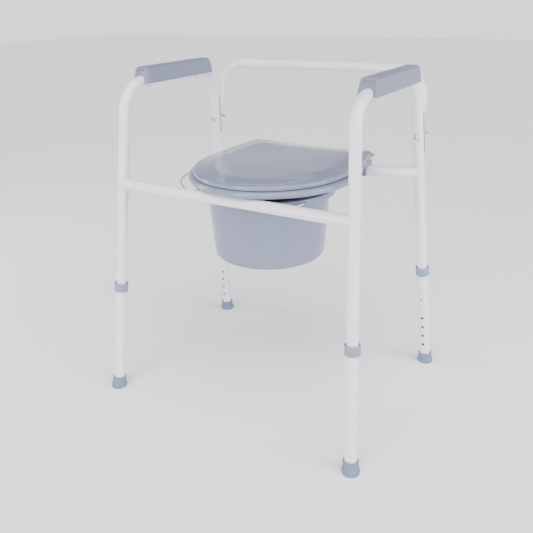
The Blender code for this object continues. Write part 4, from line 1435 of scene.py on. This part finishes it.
def stage():
    """Floor, soft lights, a pale surround and the camera."""
    bm = bmesh.new()
    bmesh.ops.create_grid(bm, x_segments=8, y_segments=8, size=12)
    mesh = bpy.data.meshes.new("studio_floor")
    bm.to_mesh(mesh)
    bm.free()
    floor = new_object("studio_floor", mesh)
    mesh.materials.append(floor_paint())

    middle = (0, 0, 0.4)
    data = bpy.data.lights.new("overhead_diffuser", "SUN")
    data.energy = 4.6
    data.angle = math.radians(70)
    lamp = new_object("overhead_diffuser", data)
    lamp.rotation_euler = (math.radians(24), math.radians(24), 0)
    area_light("right_softbox", (2.0, 0.2, 0.9), middle, 0.8, 1.6, 26)
    area_light("front_softbox", (-0.3, -2.4, 0.9), middle, 0.9, 1.5, 34)
    area_light("left_strip", (-2.0, -0.6, 0.9), middle, 0.5, 1.6, 18)

    world = bpy.data.worlds.new("pale_horizon")
    bpy.context.scene.world = world
    world.use_nodes = True
    tree = world.node_tree
    direction = add_node(tree, "ShaderNodeTexCoord").outputs["Generated"]
    split = add_node(tree, "ShaderNodeSeparateXYZ", links={"Vector": direction})
    # White along the horizon, grey above it, so that gloss has something to reflect.
    height = add_node(
        tree,
        "ShaderNodeMapRange",
        inputs={"From Min": 0.10, "From Max": 0.45, "To Min": 1.7, "To Max": 0.16},
        links={"Value": split.outputs["Z"]},
    )
    sky = tree.nodes["Background"]
    sky.inputs["Color"].default_value = linear("#F4F5FA")
    tree.links.new(height.outputs["Result"], sky.inputs["Strength"])

    data = bpy.data.cameras.new("camera")
    data.sensor_width = 36.0
    data.lens = CAMERA_LENS
    camera = new_object("camera", data)
    right = CAMERA_RIGHT.normalized()
    back = CAMERA_BACK.normalized()
    up = back.cross(right).normalized()
    right = up.cross(back)
    turn = Matrix((right, up, back)).transposed().to_4x4()
    camera.matrix_world = Matrix.Translation(CAMERA_PLACE) @ turn
    bpy.context.scene.camera = camera


# ------------------------------------------------------------------ operators


class CommodeStep:
    """Runs the functions of one building step."""

    steps = ()

    def execute(self, context):
        for step in self.steps:
            step()
        return {"FINISHED"}


class FrameTubesOperator(CommodeStep, bpy.types.Operator):
    """Build the side tubes, the crossbars with their welds and the rim supports"""

    bl_idname = "commode.frame_tubes"
    bl_label = "Frame Tubes"
    steps = (frame_tubes, pail_rests)


class BackBarOperator(CommodeStep, bpy.types.Operator):
    """Build the back bar, its bolts and wing nuts"""

    bl_idname = "commode.back_bar"
    bl_label = "Back Bar"
    steps = (back_bar, back_bolts, wing_nuts)


class ArmrestsOperator(CommodeStep, bpy.types.Operator):
    """Build the armrest pads and the screws under them"""

    bl_idname = "commode.armrests"
    bl_label = "Armrests"
    steps = (armrest_pads, armrest_screws)


class LegsOperator(CommodeStep, bpy.types.Operator):
    """Build the perforated legs, collars, rubber feet and snap buttons"""

    bl_idname = "commode.legs"
    bl_label = "Legs"
    steps = (lower_legs, snap_buttons)


class SeatOperator(CommodeStep, bpy.types.Operator):
    """Build the seat ring and the lid"""

    bl_idname = "commode.seat"
    bl_label = "Seat and Lid"
    steps = (seat_ring, seat_lid)


class PailOperator(CommodeStep, bpy.types.Operator):
    """Build the pail and its wire bail"""

    bl_idname = "commode.pail"
    bl_label = "Pail"
    steps = (pail, bail_handle)


class StageOperator(CommodeStep, bpy.types.Operator):
    """Build the floor, the lights and the camera"""

    bl_idname = "commode.stage"
    bl_label = "Stage"
    steps = (stage,)


OPERATORS = (
    FrameTubesOperator,
    BackBarOperator,
    ArmrestsOperator,
    LegsOperator,
    SeatOperator,
    PailOperator,
    StageOperator,
)


class CommodePanel(bpy.types.Panel):
    """Lists the sizes, colours and steps of the commode chair."""

    bl_label = "Commode Chair"
    bl_idname = "VIEW3D_PT_commode_chair"
    bl_space_type = "VIEW_3D"
    bl_region_type = "UI"
    bl_category = "Commode"

    def draw(self, context):
        for group in (context.scene.commode_sizes, context.scene.commode_colours):
            box = self.layout.box()
            for name in group.__annotations__:
                box.prop(group, name)
        for operator in OPERATORS:
            self.layout.operator(operator.bl_idname)


CLASSES = (CommodeSizes, CommodeColours, *OPERATORS, CommodePanel)


def register():
    for item in CLASSES:
        bpy.utils.register_class(item)
    bpy.types.Scene.commode_sizes = bpy.props.PointerProperty(type=CommodeSizes)
    bpy.types.Scene.commode_colours = bpy.props.PointerProperty(type=CommodeColours)


def unregister():
    del bpy.types.Scene.commode_colours
    del bpy.types.Scene.commode_sizes
    for item in reversed(CLASSES):
        bpy.utils.unregister_class(item)


def clear_defaults():
    """Removes the start-up file's own objects."""
    for name in ("Cube", "Light", "Camera"):
        thing = bpy.data.objects.get(name)
        if thing:
            bpy.data.objects.remove(thing)


def main():
    register()
    clear_defaults()
    for operator in OPERATORS:
        group, name = operator.bl_idname.split(".")
        getattr(getattr(bpy.ops, group), name)()


if __name__ == "__main__":
    main()
